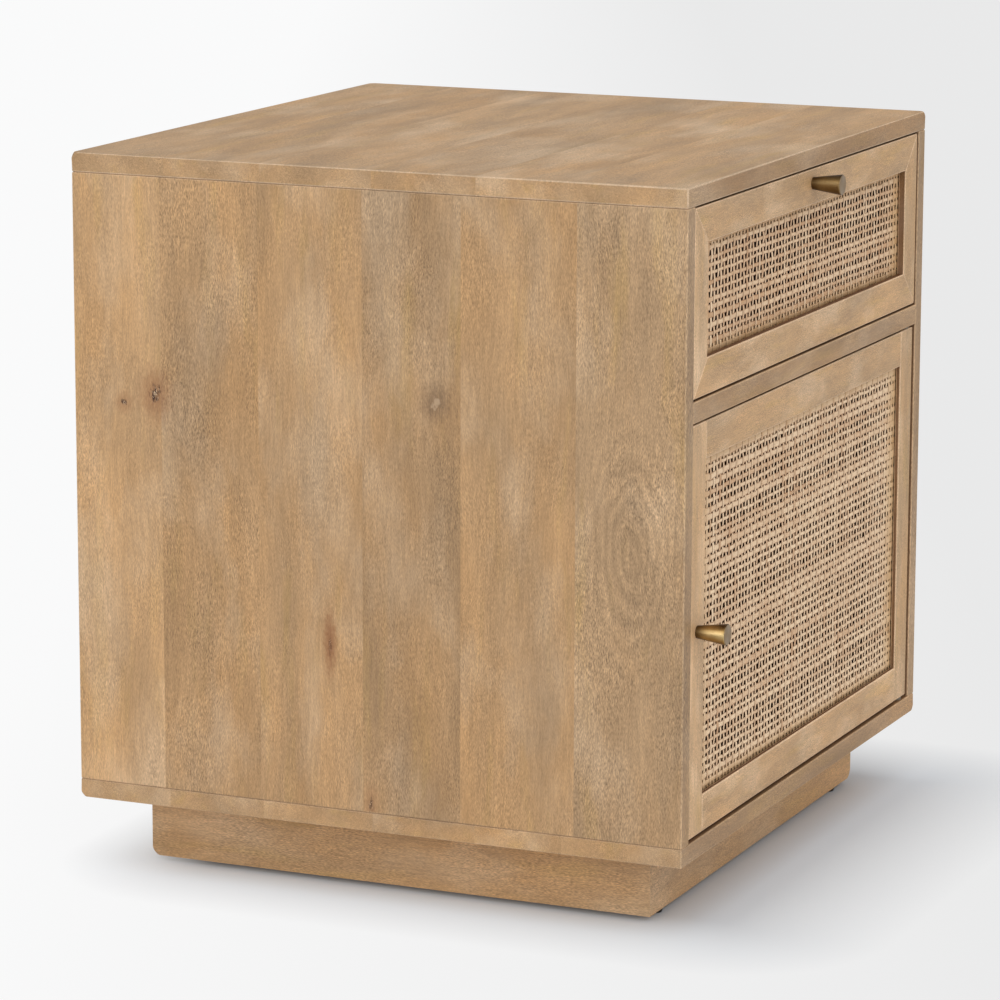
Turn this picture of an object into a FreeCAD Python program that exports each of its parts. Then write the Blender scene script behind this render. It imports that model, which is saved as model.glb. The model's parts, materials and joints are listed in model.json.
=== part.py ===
import FreeCAD, Part
import os

# Mango-wood side cabinet with a cane-fronted drawer over a cane-fronted door.
# X runs to the right seen from the front, -Y is the front, +Z is up. The floor is at zero height.

# Sizes in millimetres
SIZES = {
    # carcass
    "width": 530,
    "depth": 500,
    "height": 560,
    "top_thickness": 15,
    "bottom_thickness": 14.5,
    "side_thickness": 15,
    "divider_thickness": 16,
    "drawer_opening_height": 142.5,
    "slab_tip": 8,
    "back_thickness": 6,
    "back_inset": 2,
    "back_rebate": 8,
    "back_screw_diameter": 3,
    "back_screw_head": 6,
    "back_screw_head_thickness": 1.5,
    "back_screw_length": 18,
    "dowel_diameter": 8,
    "dowel_in_face": 9,
    "dowel_in_end": 20,
    # plinth and glides
    "plinth_height": 52.5,
    "plinth_inset": 40.5,
    "plinth_board": 18,
    "plinth_tip": 10,
    "block_side": 32,
    "block_height": 40,
    "plinth_screw_diameter": 4.5,
    "plinth_screw_head": 9,
    "plinth_screw_head_thickness": 2.5,
    "plinth_screw_length": 50,
    "glide_height": 5,
    "glide_diameter": 15,
    "glide_sole": 11,
    "glide_end_inset": 32,
    # frames that hold the cane
    "frame_thickness": 18,
    "rebate_width": 8,
    "bead_clearance": 0.2,
    "bead_cover": 9,
    "strand_thickness": 0.7,
    "upright_strand": 4.2,
    "upright_pitch": 6.7,
    "cross_strand": 3.6,
    "cross_pitch": 6.3,
    "cane_clearance": 0.5,
    # drawer front and box
    "drawer_gap": 1.5,
    "drawer_setback": 1,
    "drawer_frame_width": 27.5,
    "drawer_knob_drop": 11.2,
    "drawer_cane_depth": 6,
    "subfront_thickness": 12,
    "subfront_margin": 4,
    "drawer_back_room": 59,
    "box_height": 100,
    "box_lift": 12,
    "box_board": 12,
    "bottom_board": 5,
    "bottom_lift": 8,
    "groove_depth": 6,
    "front_screw_diameter": 4,
    "front_screw_head": 8,
    "front_screw_head_thickness": 2,
    "front_screw_length": 24,
    # drawer slides
    "slide_setback": 2,
    "slide_thickness": 12.7,
    "slide_height": 45,
    "slide_gauge": 1.2,
    "slide_web_gap": 1.2,
    "outer_flange": 10,
    "middle_flange": 8.6,
    "inner_flange": 8.3,
    "roller_gap": 3,
    "roller_clearance": 0.05,
    "roller_length": 3,
    "cage_length": 200,
    "cage_width": 5,
    "cage_thickness": 1,
    "slide_screw_diameter": 3.5,
    "slide_screw_head": 7,
    "slide_screw_head_thickness": 0.9,
    "slide_screw_length": 10,
    # door, its pivots and its catch
    "door_gap": 2,
    "door_hinge_gap": 2.5,
    "door_foot_gap": 2.5,
    "door_setback": 1.5,
    "door_frame_width": 28.5,
    "door_cane_depth": 4,
    "tenon_length": 12,
    "tenon_thickness": 6,
    "tenon_shoulder": 3,
    "pivot_inset": 10,
    "pivot_depth": 5.5,
    "pivot_clearance": 0.05,
    "pin_diameter": 4,
    "pin_bite": 11,
    "bush_diameter": 7,
    "bush_length": 12,
    "bush_flange": 1,
    "bush_flange_diameter": 10,
    "catch_length": 40,
    "catch_depth": 26,
    "catch_height": 13,
    "catch_inset": 60,
    "catch_air": 0.3,
    "magnet_length": 22,
    "magnet_depth": 10,
    "magnet_height": 6,
    "catch_plate_length": 32,
    "catch_plate_thickness": 1,
    "catch_plate_height": 9,
    "catch_screw_diameter": 3,
    "catch_screw_head": 6,
    "catch_screw_head_thickness": 1.6,
    "catch_screw_bite": 9,
    "plate_screw_diameter": 2.5,
    "plate_screw_head": 5,
    "plate_screw_head_thickness": 0.5,
    "plate_screw_length": 9,
    # knobs
    "knob_length": 24,
    "knob_base_diameter": 9.5,
    "knob_tip_diameter": 16,
    "knob_tip_ease": 0.8,
    "knob_screw_diameter": 4,
    "knob_screw_head": 8,
    "knob_screw_head_thickness": 2.4,
    "knob_screw_bite": 10,
    # how far a cutting shape runs past the face that it cuts
    "overrun": 2,
}

# Counts, and places given as shares of the piece that they lie on
ROLLERS_PER_ROW = 3
FASTENER_SIDES = 8
TIP_BALL_SHARE = 1.45
DOWEL_PLACE_SHARES = (0.15, 0.85)
BACK_SCREW_SHARES = (0.08, 0.5, 0.92)
FRONT_SCREW_SHARES = (0.14, 0.86)
SLIDE_SCREW_SHARES = (0.06, 0.94)
CATCH_SCREW_SHARES = (0.14, 0.86)

doc = FreeCAD.newDocument("accent_table")
sheet = doc.addObject("Spreadsheet::Sheet", "dims")
for row, (alias, size) in enumerate(SIZES.items(), start=1):
    sheet.set(f"A{row}", alias)
    sheet.set(f"B{row}", str(size))
    sheet.setAlias(f"B{row}", alias)
doc.recompute()

# Planes that several pieces share, as formulas on the sheet
INNER = "(dims.width / 2 - dims.side_thickness)"
FRONT = "((dims.knob_length - dims.drawer_setback - dims.depth) / 2)"
BACK = f"({FRONT} + dims.depth)"
BACK_FACE = f"({BACK} - dims.back_inset - dims.back_thickness)"
CARCASS_BASE = "(dims.glide_height + dims.plinth_height)"
CUPBOARD_FLOOR = f"({CARCASS_BASE} + dims.bottom_thickness)"
CEILING = "(dims.height - dims.top_thickness)"
DIVIDER_TOP = f"({CEILING} - dims.drawer_opening_height)"
DIVIDER_BASE = f"({DIVIDER_TOP} - dims.divider_thickness)"

TO_FRONT = FreeCAD.Rotation(FreeCAD.Vector(1, 0, 0), 90)
TO_RIGHT = FreeCAD.Rotation(FreeCAD.Vector(0, 1, 0), 90)
TO_LEFT = FreeCAD.Rotation(FreeCAD.Vector(0, 1, 0), -90)
UPWARD = FreeCAD.Rotation()

subparts = []


def subpart(obj):
    """Keep an object as one of the table's named pieces."""
    subparts.append(obj)
    return obj


def bind(obj, **formulas):
    for name, formula in formulas.items():
        obj.setExpression(name, formula)
    return obj


def place(obj, spot, turn=UPWARD):
    obj.Placement = FreeCAD.Placement(FreeCAD.Vector(), turn)
    for axis, formula in zip("xyz", spot):
        obj.setExpression(f"Placement.Base.{axis}", formula)
    return obj


def box(name, size, corner):
    """Block of the given size whose lowest corner is at corner."""
    obj = doc.addObject("Part::Box", name)
    bind(obj, Length=size[0], Width=size[1], Height=size[2])
    return place(obj, corner)


def rod(name, diameter, length, start, turn=UPWARD):
    obj = doc.addObject("Part::Cylinder", name)
    bind(obj, Radius=f"({diameter}) / 2", Height=length)
    return place(obj, start, turn)


def faceted(name, diameter, length, start, turn=UPWARD):
    """Small round piece, such as a dowel or a screw's shank, with a few flat sides."""
    obj = doc.addObject("Part::Prism", name)
    obj.Polygon = FASTENER_SIDES
    bind(obj, Circumradius=f"({diameter}) / 2", Height=length)
    return place(obj, start, turn)


def taper(name, start_diameter, end_diameter, length, start, turn=UPWARD):
    obj = doc.addObject("Part::Cone", name)
    bind(obj, Radius1=f"({start_diameter}) / 2", Radius2=f"({end_diameter}) / 2", Height=length)
    return place(obj, start, turn)


def ball(name, diameter, centre):
    obj = doc.addObject("Part::Sphere", name)
    bind(obj, Radius=f"({diameter}) / 2")
    return place(obj, centre)


def mitred(name, length, width, thickness):
    """Bar along X whose ends are mitred towards the edge at its width; its thickness is along Z."""
    obj = doc.addObject("Part::Wedge", name)
    bind(obj, Xmin="0", Ymin="0", Zmin="0", X2min=width, Z2min="0")
    bind(obj, Xmax=length, Ymax=width, Zmax=thickness, X2max=f"{length} - {width}", Z2max=thickness)
    return obj


def group(name, pieces):
    obj = doc.addObject("Part::Compound", name)
    obj.Links = pieces
    return obj


def fused(name, pieces):
    obj = doc.addObject("Part::MultiFuse", name)
    obj.Shapes = pieces
    return obj


def carved(name, base, tools):
    """The base less every tool."""
    obj = doc.addObject("Part::Cut", name)
    obj.Base = base
    obj.Tool = tools[0] if len(tools) == 1 else group(f"{name}_cuts", tools)
    return obj


def screw(name, kind, length, start, turn, sunk=True):
    """Screw of one kind that enters the face at start; a sunk head is level with that face."""
    thickness = f"dims.{kind}_head_thickness"
    head_start = "0" if sunk else f"-{thickness}"
    shank = faceted(f"{name}_shank", f"dims.{kind}_diameter", length, ("0", "0", "0"))
    head = faceted(f"{name}_head", f"dims.{kind}_head", thickness, ("0", "0", head_start))
    return place(fused(name, [shank, head]), start, turn)


def tip_cutter(name, corner, inward, size):
    """Cuts one corner's tip round and leaves the edges that meet there crisp."""
    lows = []
    centre = []
    for plane, way in zip(corner, inward):
        lows.append(f"{plane} - dims.overrun" if way > 0 else f"{plane} - {size}")
        centre.append(f"{plane} + {size}" if way > 0 else f"{plane} - {size}")
    cube = box(f"{name}_cube", (f"{size} + dims.overrun",) * 3, lows)
    rounding = ball(f"{name}_ball", f"2 * {TIP_BALL_SHARE} * {size}", centre)
    return carved(name, cube, [rounding])


def slab_tips(name, inset, height, upward, size):
    """Tip cutters for a level rectangle set in from the carcass's outline; its left front corner stays crisp."""
    left, right = (1, f"-dims.width / 2 + {inset}"), (-1, f"dims.width / 2 - {inset}")
    front, back = (1, f"{FRONT} + {inset}"), (-1, f"{BACK} - {inset}")
    cutters = []
    for (x_way, x), (y_way, y) in ((left, back), (right, front), (right, back)):
        label = f"{name}_{len(cutters)}"
        cutters.append(tip_cutter(label, (x, y, height), (x_way, y_way, upward), size))
    return cutters


def side_x(side, start, length):
    """Lowest x of a run of the given length that starts that far in from a side panel's inner face."""
    if side == "left":
        return f"-{INNER} + {start}"
    return f"{INNER} - ({start}) - ({length})"


# Dowels of the carcass joints
dowels = []
DOWEL_LENGTH = "dims.dowel_in_face + dims.dowel_in_end"
for side, sign in (("left", "-"), ("right", "")):
    middle = f"{sign}(dims.width / 2 - dims.side_thickness / 2)"
    for share in DOWEL_PLACE_SHARES:
        y = f"{FRONT} + {share} * dims.depth"
        number = len(dowels)
        upper = (middle, y, f"{CEILING} - dims.dowel_in_end")
        lower = (middle, y, f"{CUPBOARD_FLOOR} - dims.dowel_in_face")
        level = (
            side_x(side, "-dims.dowel_in_face", DOWEL_LENGTH),
            y,
            f"{DIVIDER_BASE} + dims.divider_thickness / 2",
        )
        dowels.append(faceted(f"dowel_{number}", "dims.dowel_diameter", DOWEL_LENGTH, upper))
        dowels.append(faceted(f"dowel_{number + 1}", "dims.dowel_diameter", DOWEL_LENGTH, lower))
        dowels.append(faceted(f"dowel_{number + 2}", "dims.dowel_diameter", DOWEL_LENGTH, level, TO_RIGHT))
subpart(group("carcass_dowels", dowels))

# Glue blocks in the plinth's corners, each with a screw up into the bottom panel
blocks = []
plinth_screws = []
BLOCK_BASE = f"({CARCASS_BASE} - dims.block_height)"
BLOCK_INSET = "(dims.plinth_inset + dims.plinth_board)"
for x_low in (f"-dims.width / 2 + {BLOCK_INSET}", f"dims.width / 2 - {BLOCK_INSET} - dims.block_side"):
    for y_low in (f"{FRONT} + {BLOCK_INSET}", f"{BACK} - {BLOCK_INSET} - dims.block_side"):
        number = len(blocks)
        size = ("dims.block_side", "dims.block_side", "dims.block_height")
        block = box(f"block_{number}", size, (x_low, y_low, BLOCK_BASE))
        centre = (f"{x_low} + dims.block_side / 2", f"{y_low} + dims.block_side / 2", BLOCK_BASE)
        screw_name = f"plinth_screw_{number}"
        up_screw = screw(screw_name, "plinth_screw", "dims.plinth_screw_length", centre, UPWARD)
        plinth_screws.append(up_screw)
        blocks.append(carved(f"drilled_block_{number}", block, [up_screw]))
subpart(group("plinth_corner_blocks", blocks))
subpart(group("plinth_screws", plinth_screws))

# Plinth boards, mitred at the corners, with the corners' lower tips worn round
plinth_tips = slab_tips("plinth_tip_cut", "dims.plinth_inset", "dims.glide_height", 1, "dims.plinth_tip")
LEFT_END = "-dims.width / 2 + dims.plinth_inset"
RIGHT_END = "dims.width / 2 - dims.plinth_inset"
FRONT_END = f"{FRONT} + dims.plinth_inset"
BACK_END = f"{BACK} - dims.plinth_inset"
plinth_boards = (
    ("front", "(dims.width - 2 * dims.plinth_inset)", LEFT_END, FRONT_END, 0),
    ("right", "(dims.depth - 2 * dims.plinth_inset)", RIGHT_END, FRONT_END, 90),
    ("back", "(dims.width - 2 * dims.plinth_inset)", RIGHT_END, BACK_END, 180),
    ("left", "(dims.depth - 2 * dims.plinth_inset)", LEFT_END, BACK_END, 270),
)
for name, length, x, y, angle in plinth_boards:
    board = mitred(f"{name}_plinth_blank", length, "dims.plinth_board", "dims.plinth_height")
    place(board, (x, y, "dims.glide_height"), FreeCAD.Rotation(FreeCAD.Vector(0, 0, 1), angle))
    subpart(carved(f"plinth_{name}_board", board, plinth_tips))

# Glides under the plinth's front and back boards
glides = []
for x in (f"{LEFT_END} + dims.glide_end_inset", f"{RIGHT_END} - dims.glide_end_inset"):
    for y in (f"{FRONT_END} + dims.plinth_board / 2", f"{BACK_END} - dims.plinth_board / 2"):
        name = f"glide_{len(glides)}"
        glides.append(taper(name, "dims.glide_sole", "dims.glide_diameter", "dims.glide_height", (x, y, "0")))
subpart(group("foot_glides", glides))

# Pivot pins of the door: one in the divider, one in the bottom panel
PIVOT_X = f"({INNER} - dims.door_hinge_gap - dims.pivot_inset)"
PIVOT_Y = f"({FRONT} + dims.door_setback + dims.pivot_depth)"
DOOR_BASE = f"({CUPBOARD_FLOOR} + dims.door_foot_gap)"
DOOR_TOP = f"({DIVIDER_BASE} - dims.door_gap)"
pin_low = (PIVOT_X, PIVOT_Y, f"{CUPBOARD_FLOOR} - dims.pin_bite")
pin_high = (PIVOT_X, PIVOT_Y, f"{DOOR_TOP} - dims.bush_length")
low_length = "dims.pin_bite + dims.door_foot_gap + dims.bush_length"
high_length = "dims.bush_length + dims.door_gap + dims.pin_bite"
lower_pin = rod("lower_pivot_pin", "dims.pin_diameter", low_length, pin_low)
upper_pin = rod("upper_pivot_pin", "dims.pin_diameter", high_length, pin_high)
subpart(group("door_pivot_pins", [lower_pin, upper_pin]))

# Washer that carries the door's lower bush
PIN_BORE = "dims.pin_diameter + 2 * dims.pivot_clearance"
washer_height = "dims.door_foot_gap - dims.bush_flange - dims.pivot_clearance"
washer_seat = (PIVOT_X, PIVOT_Y, CUPBOARD_FLOOR)
washer_disc = rod("washer_disc", "dims.bush_flange_diameter", washer_height, washer_seat)
washer_bore = rod(
    "washer_bore",
    PIN_BORE,
    f"{washer_height} + 2 * dims.overrun",
    (PIVOT_X, PIVOT_Y, f"{CUPBOARD_FLOOR} - dims.overrun"),
)
subpart(carved("door_pivot_washer", washer_disc, [washer_bore]))

# Magnetic catch under the divider, near the door's free edge
DOOR_LEFT = f"(-{INNER} + dims.door_gap)"
DOOR_FACE = f"({FRONT} + dims.door_setback)"
DOOR_BACK = f"({DOOR_FACE} + dims.frame_thickness)"
CATCH_X = f"({DOOR_LEFT} + dims.catch_inset)"
CATCH_Y = f"({DOOR_BACK} + dims.catch_plate_thickness + dims.catch_air)"
CATCH_Z = f"({DIVIDER_BASE} - dims.catch_height)"
MAGNET_X = f"({CATCH_X} + (dims.catch_length - dims.magnet_length) / 2)"
MAGNET_Z = f"({CATCH_Z} + (dims.catch_height - dims.magnet_height) / 2)"
catch_size = ("dims.catch_length", "dims.catch_depth", "dims.catch_height")
catch_block = box("catch_block", catch_size, (CATCH_X, CATCH_Y, CATCH_Z))
magnet_size = ("dims.magnet_length", "dims.magnet_depth", "dims.magnet_height")
magnet = subpart(box("catch_magnet", magnet_size, (MAGNET_X, CATCH_Y, MAGNET_Z)))
catch_screws = []
for share in CATCH_SCREW_SHARES:
    spot = (f"{CATCH_X} + {share} * dims.catch_length", f"{CATCH_Y} + dims.catch_depth / 2", CATCH_Z)
    length = "dims.catch_height + dims.catch_screw_bite"
    screw_name = f"catch_screw_{len(catch_screws)}"
    catch_screws.append(screw(screw_name, "catch_screw", length, spot, UPWARD, sunk=False))
subpart(carved("catch_body", catch_block, [magnet] + catch_screws))
subpart(group("catch_screws", catch_screws))

# Telescopic slides: three nested channels on each side, with caged rollers between their flanges
BOX_FRONT = f"({FRONT} + dims.drawer_setback + dims.frame_thickness + dims.subfront_thickness)"
BOX_BASE = f"({DIVIDER_TOP} + dims.box_lift)"
BOX_LENGTH = f"({BACK_FACE} - dims.drawer_back_room - {BOX_FRONT})"
SLIDE_Y = f"({BOX_FRONT} + dims.slide_setback)"
SLIDE_LENGTH = f"({BOX_LENGTH} - dims.slide_setback)"
SLIDE_Z = f"({BOX_BASE} + dims.box_height / 2)"
STEP_IN = "(dims.slide_gauge + dims.roller_gap)"
OUTER_HEIGHT = "dims.slide_height"
MIDDLE_HEIGHT = f"(dims.slide_height - 2 * {STEP_IN})"
INNER_HEIGHT = f"(dims.slide_height - 4 * {STEP_IN})"
MIDDLE_START = "(dims.slide_gauge + dims.slide_web_gap)"
INNER_START = "(dims.slide_thickness - dims.inner_flange)"
ROLLER_DIAMETER = "(dims.roller_gap - 2 * dims.roller_clearance)"


def channel(name, side, start, flange, height, open_to_drawer):
    """Rolled channel along the slide: a block less the hollow between its two flanges."""
    low = f"{SLIDE_Z} - {height} / 2"
    corner = (side_x(side, start, flange), SLIDE_Y, low)
    block = box(f"{name}_block", (flange, SLIDE_LENGTH, height), corner)
    depth = f"{flange} - dims.slide_gauge + dims.overrun"
    mouth = f"{start} + dims.slide_gauge" if open_to_drawer else f"{start} - dims.overrun"
    hollow = box(
        f"{name}_hollow",
        (depth, f"{SLIDE_LENGTH} + 2 * dims.overrun", f"{height} - 2 * dims.slide_gauge"),
        (side_x(side, mouth, depth), f"{SLIDE_Y} - dims.overrun", f"{low} + dims.slide_gauge"),
    )
    return carved(name, block, [hollow])


def slide_screw(name, side, start, share, towards_drawer):
    """Flat-headed screw through a channel's web, into the side panel or into the drawer's side."""
    spot = (side_x(side, start, "0"), f"{SLIDE_Y} + {share} * {SLIDE_LENGTH}", SLIDE_Z)
    turn = TO_RIGHT if (side == "left") == towards_drawer else TO_LEFT
    return screw(name, "slide_screw", "dims.slide_screw_length + dims.slide_gauge", spot, turn, sunk=False)


outer_screws = {"left": [], "right": []}
inner_screws = {"left": [], "right": []}
for side in ("left", "right"):
    for share in SLIDE_SCREW_SHARES:
        number = len(outer_screws[side])
        outer = slide_screw(f"{side}_outer_screw_{number}", side, "dims.slide_gauge", share, False)
        web = "dims.slide_thickness - dims.slide_gauge"
        inner = slide_screw(f"{side}_inner_screw_{number}", side, web, share, True)
        outer_screws[side].append(outer)
        inner_screws[side].append(inner)
    outer = channel(f"{side}_outer_channel", side, "0", "dims.outer_flange", OUTER_HEIGHT, True)
    middle = channel(f"{side}_slide_middle", side, MIDDLE_START, "dims.middle_flange", MIDDLE_HEIGHT, True)
    inner = channel(f"{side}_inner_channel", side, INNER_START, "dims.inner_flange", INNER_HEIGHT, False)
    subpart(carved(f"{side}_slide_outer", outer, outer_screws[side]))
    subpart(middle)
    subpart(carved(f"{side}_slide_inner", inner, inner_screws[side]))
subpart(group("slide_outer_screws", outer_screws["left"] + outer_screws["right"]))
subpart(group("slide_inner_screws", inner_screws["left"] + inner_screws["right"]))


def roller_rows(name, first, last, around):
    """Rollers and cage strips over and under a channel of the given height, on both sides."""
    rollers = []
    strips = []
    windows = []
    across = f"({first} + {last}) / 2"
    cage_y = f"{SLIDE_Y} + ({SLIDE_LENGTH} - dims.cage_length) / 2"
    cage_size = ("dims.cage_width", "dims.cage_length", "dims.cage_thickness")
    window_size = ("dims.roller_length", "dims.roller_gap", "dims.roller_gap")
    for side in ("left", "right"):
        strip_x = side_x(side, f"{across} - dims.cage_width / 2", "dims.cage_width")
        roller_x = side_x(side, f"{across} - dims.roller_length / 2", "dims.roller_length")
        for sign in ("+", "-"):
            row_z = f"{SLIDE_Z} {sign} ({around} + dims.roller_gap) / 2"
            strip_corner = (strip_x, cage_y, f"{row_z} - dims.cage_thickness / 2")
            strips.append(box(f"{name}_strip_{len(strips)}", cage_size, strip_corner))
            for index in range(ROLLERS_PER_ROW):
                number = len(rollers)
                y = f"{cage_y} + dims.cage_length * {index + 1} / {ROLLERS_PER_ROW + 1}"
                corner = (roller_x, f"{y} - dims.roller_gap / 2", f"{row_z} - dims.roller_gap / 2")
                windows.append(box(f"{name}_window_{number}", window_size, corner))
                start = (roller_x, y, row_z)
                label = f"{name}_roller_{number}"
                rollers.append(faceted(label, ROLLER_DIAMETER, "dims.roller_length", start, TO_RIGHT))
    subpart(group(f"{name}_slide_rollers", rollers))
    subpart(carved(f"{name}_roller_cages", group(f"{name}_strips", strips), windows))


roller_rows("outer", MIDDLE_START, "dims.outer_flange", MIDDLE_HEIGHT)
roller_rows("inner", INNER_START, f"{MIDDLE_START} + dims.middle_flange", INNER_HEIGHT)

# Back panel in the side panels' rebates, with its screws
BACK_HALF = f"({INNER} + dims.back_rebate)"
back_screws = []
for sign in ("-", ""):
    for share in BACK_SCREW_SHARES:
        height = f"{CUPBOARD_FLOOR} + {share} * ({CEILING} - {CUPBOARD_FLOOR})"
        spot = (f"{sign}({INNER} + dims.back_rebate / 2)", f"{BACK} - dims.back_inset", height)
        screw_name = f"back_screw_{len(back_screws)}"
        back_screws.append(screw(screw_name, "back_screw", "dims.back_screw_length", spot, TO_FRONT))
subpart(group("back_panel_screws", back_screws))
back_board = box(
    "back_board",
    (f"2 * {BACK_HALF}", "dims.back_thickness", f"{CEILING} - {CUPBOARD_FLOOR}"),
    (f"-{BACK_HALF}", BACK_FACE, CUPBOARD_FLOOR),
)
subpart(carved("back_panel", back_board, back_screws))

# Side panels, top, bottom and divider, bored for what they hold
side_size = ("dims.side_thickness", "dims.depth", f"{CEILING} - {CUPBOARD_FLOOR}")
for side, x, rebate_x in (
    ("left", "-dims.width / 2", f"-{BACK_HALF}"),
    ("right", INNER, f"{INNER} - dims.overrun"),
):
    board = box(f"{side}_side_board", side_size, (x, FRONT, CUPBOARD_FLOOR))
    rebate = box(
        f"{side}_side_rebate",
        ("dims.back_rebate + dims.overrun", "dims.depth", f"{side_size[2]} + 2 * dims.overrun"),
        (rebate_x, BACK_FACE, f"{CUPBOARD_FLOOR} - dims.overrun"),
    )
    subpart(carved(f"{side}_side_panel", board, [rebate] + dowels + back_screws + outer_screws[side]))

top_tips = slab_tips("top_tip_cut", "0", "dims.height", -1, "dims.slab_tip")
top_corner = ("-dims.width / 2", FRONT, CEILING)
top_slab = box("top_slab", ("dims.width", "dims.depth", "dims.top_thickness"), top_corner)
subpart(carved("top_panel", top_slab, top_tips + dowels))

base_tips = slab_tips("base_tip_cut", "0", CARCASS_BASE, 1, "dims.slab_tip")
base_corner = ("-dims.width / 2", FRONT, CARCASS_BASE)
base_slab = box("base_slab", ("dims.width", "dims.depth", "dims.bottom_thickness"), base_corner)
subpart(carved("bottom_panel", base_slab, base_tips + dowels + plinth_screws + [lower_pin]))

divider_size = (f"2 * {INNER}", f"{BACK_FACE} - {FRONT}", "dims.divider_thickness")
divider_board = box("divider_board", divider_size, (f"-{INNER}", FRONT, DIVIDER_BASE))
subpart(carved("divider_panel", divider_board, dowels + catch_screws + [upper_pin]))


def cane_panel(name, left, face, base, wide, tall):
    """Cane held flat: a layer of upright strands in front of a layer of cross strands."""
    strands = []
    layers = (
        ("upright", wide, "dims.upright_strand", "dims.upright_pitch"),
        ("cross", tall, "dims.cross_strand", "dims.cross_pitch"),
    )
    for kind, span, strand, pitch in layers:
        count = 1 + int(sheet.evalExpression(f"({span} - {strand}) / {pitch}"))
        margin = f"({span} - {strand} - {count - 1} * {pitch}) / 2"
        for index in range(count):
            along = f"{margin} + {index} * {pitch}"
            if kind == "upright":
                size = (strand, "dims.strand_thickness", tall)
                corner = (f"{left} + {along}", face, base)
            else:
                size = (wide, "dims.strand_thickness", strand)
                corner = (left, f"{face} + dims.strand_thickness", f"{base} + {along}")
            strands.append(box(f"{name}_{kind}_{index}", size, corner))
    return subpart(group(name, strands))


def cane_in_frame(name, left, face, base, wide, tall, frame_width, depth):
    """Cane in the rebate of a frame of the given outline, and the beads that back its edges."""
    edge = f"({frame_width} - dims.rebate_width + dims.cane_clearance)"
    cane_panel(
        f"{name}_cane",
        f"{left} + {edge}",
        f"{face} + {depth}",
        f"{base} + {edge}",
        f"({wide} - 2 * {edge})",
        f"({tall} - 2 * {edge})",
    )
    slot = f"({frame_width} - dims.rebate_width + dims.bead_clearance)"
    thick = "(dims.rebate_width - dims.bead_clearance + dims.bead_cover)"
    deep = f"(dims.frame_thickness - {depth} - 2 * dims.strand_thickness)"
    y = f"{face} + {depth} + 2 * dims.strand_thickness"
    cross_size = (f"{wide} - 2 * {slot}", deep, thick)
    upright_size = (thick, deep, f"{tall} - 2 * {slot} - 2 * {thick}")
    lower = box(f"{name}_lower_bead", cross_size, (f"{left} + {slot}", y, f"{base} + {slot}"))
    upper_z = f"{base} + {tall} - {slot} - {thick}"
    upper = box(f"{name}_upper_bead", cross_size, (f"{left} + {slot}", y, upper_z))
    near = box(f"{name}_left_bead", upright_size, (f"{left} + {slot}", y, f"{base} + {slot} + {thick}"))
    far_x = f"{left} + {wide} - {slot} - {thick}"
    far = box(f"{name}_right_bead", upright_size, (far_x, y, f"{base} + {slot} + {thick}"))
    subpart(group(f"{name}_cane_cross_beads", [lower, upper]))
    subpart(group(f"{name}_cane_upright_beads", [near, far]))


def knob(name, x, face, z, fastener):
    """Conical knob that widens to an eased flat tip, bored for its screw."""
    stem_length = "dims.knob_length - dims.knob_tip_ease"
    wide = "dims.knob_tip_diameter"
    stem = taper(f"{name}_stem", "dims.knob_base_diameter", wide, stem_length, ("0", "0", "0"))
    tip_flat = f"{wide} - 2 * dims.knob_tip_ease"
    tip = taper(f"{name}_tip", wide, tip_flat, "dims.knob_tip_ease", ("0", "0", stem_length))
    whole = place(fused(f"{name}_blank", [stem, tip]), (x, face, z), TO_FRONT)
    return subpart(carved(name, whole, [fastener]))


def knob_screw(name, x, seat, z, through):
    """Flat-headed screw from the back of the wood, through it and into the knob."""
    length = f"{through} + dims.knob_screw_bite"
    return subpart(screw(name, "knob_screw", length, (x, seat, z), TO_FRONT, sunk=False))


# Drawer front: a mitred frame round the cane, with the drawer box's front board behind it
DRAWER_FACE = f"({FRONT} + dims.drawer_setback)"
DRAWER_LEFT = f"(-{INNER} + dims.drawer_gap)"
DRAWER_WIDTH = f"(2 * {INNER} - 2 * dims.drawer_gap)"
DRAWER_BASE = f"({DIVIDER_TOP} + dims.drawer_gap)"
DRAWER_HEIGHT = "(dims.drawer_opening_height - 2 * dims.drawer_gap)"
SUBFRONT_FACE = f"({DRAWER_FACE} + dims.frame_thickness)"
SUBFRONT_HEIGHT = f"({DRAWER_HEIGHT} - 2 * dims.subfront_margin)"
BOX_HALF = f"({INNER} - dims.slide_thickness)"
RAIL_SEAT = "(dims.drawer_frame_width - dims.rebate_width)"

drawer_knob_z = f"{DRAWER_BASE} + {DRAWER_HEIGHT} - dims.drawer_knob_drop"
drawer_through = "dims.frame_thickness + dims.subfront_thickness"
drawer_screw = knob_screw("drawer_knob_screw", "0", BOX_FRONT, drawer_knob_z, drawer_through)
knob("drawer_knob", "0", DRAWER_FACE, drawer_knob_z, drawer_screw)

front_screws = []
screw_heights = (
    f"{DRAWER_BASE} + (dims.subfront_margin + {RAIL_SEAT}) / 2",
    f"{DRAWER_BASE} + {DRAWER_HEIGHT} - (dims.subfront_margin + {RAIL_SEAT}) / 2",
)
for share in FRONT_SCREW_SHARES:
    for height in screw_heights:
        spot = (f"{DRAWER_LEFT} + {share} * {DRAWER_WIDTH}", BOX_FRONT, height)
        screw_name = f"front_screw_{len(front_screws)}"
        front_screws.append(screw(screw_name, "front_screw", "dims.front_screw_length", spot, TO_FRONT))
subpart(group("drawer_front_screws", front_screws))

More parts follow.
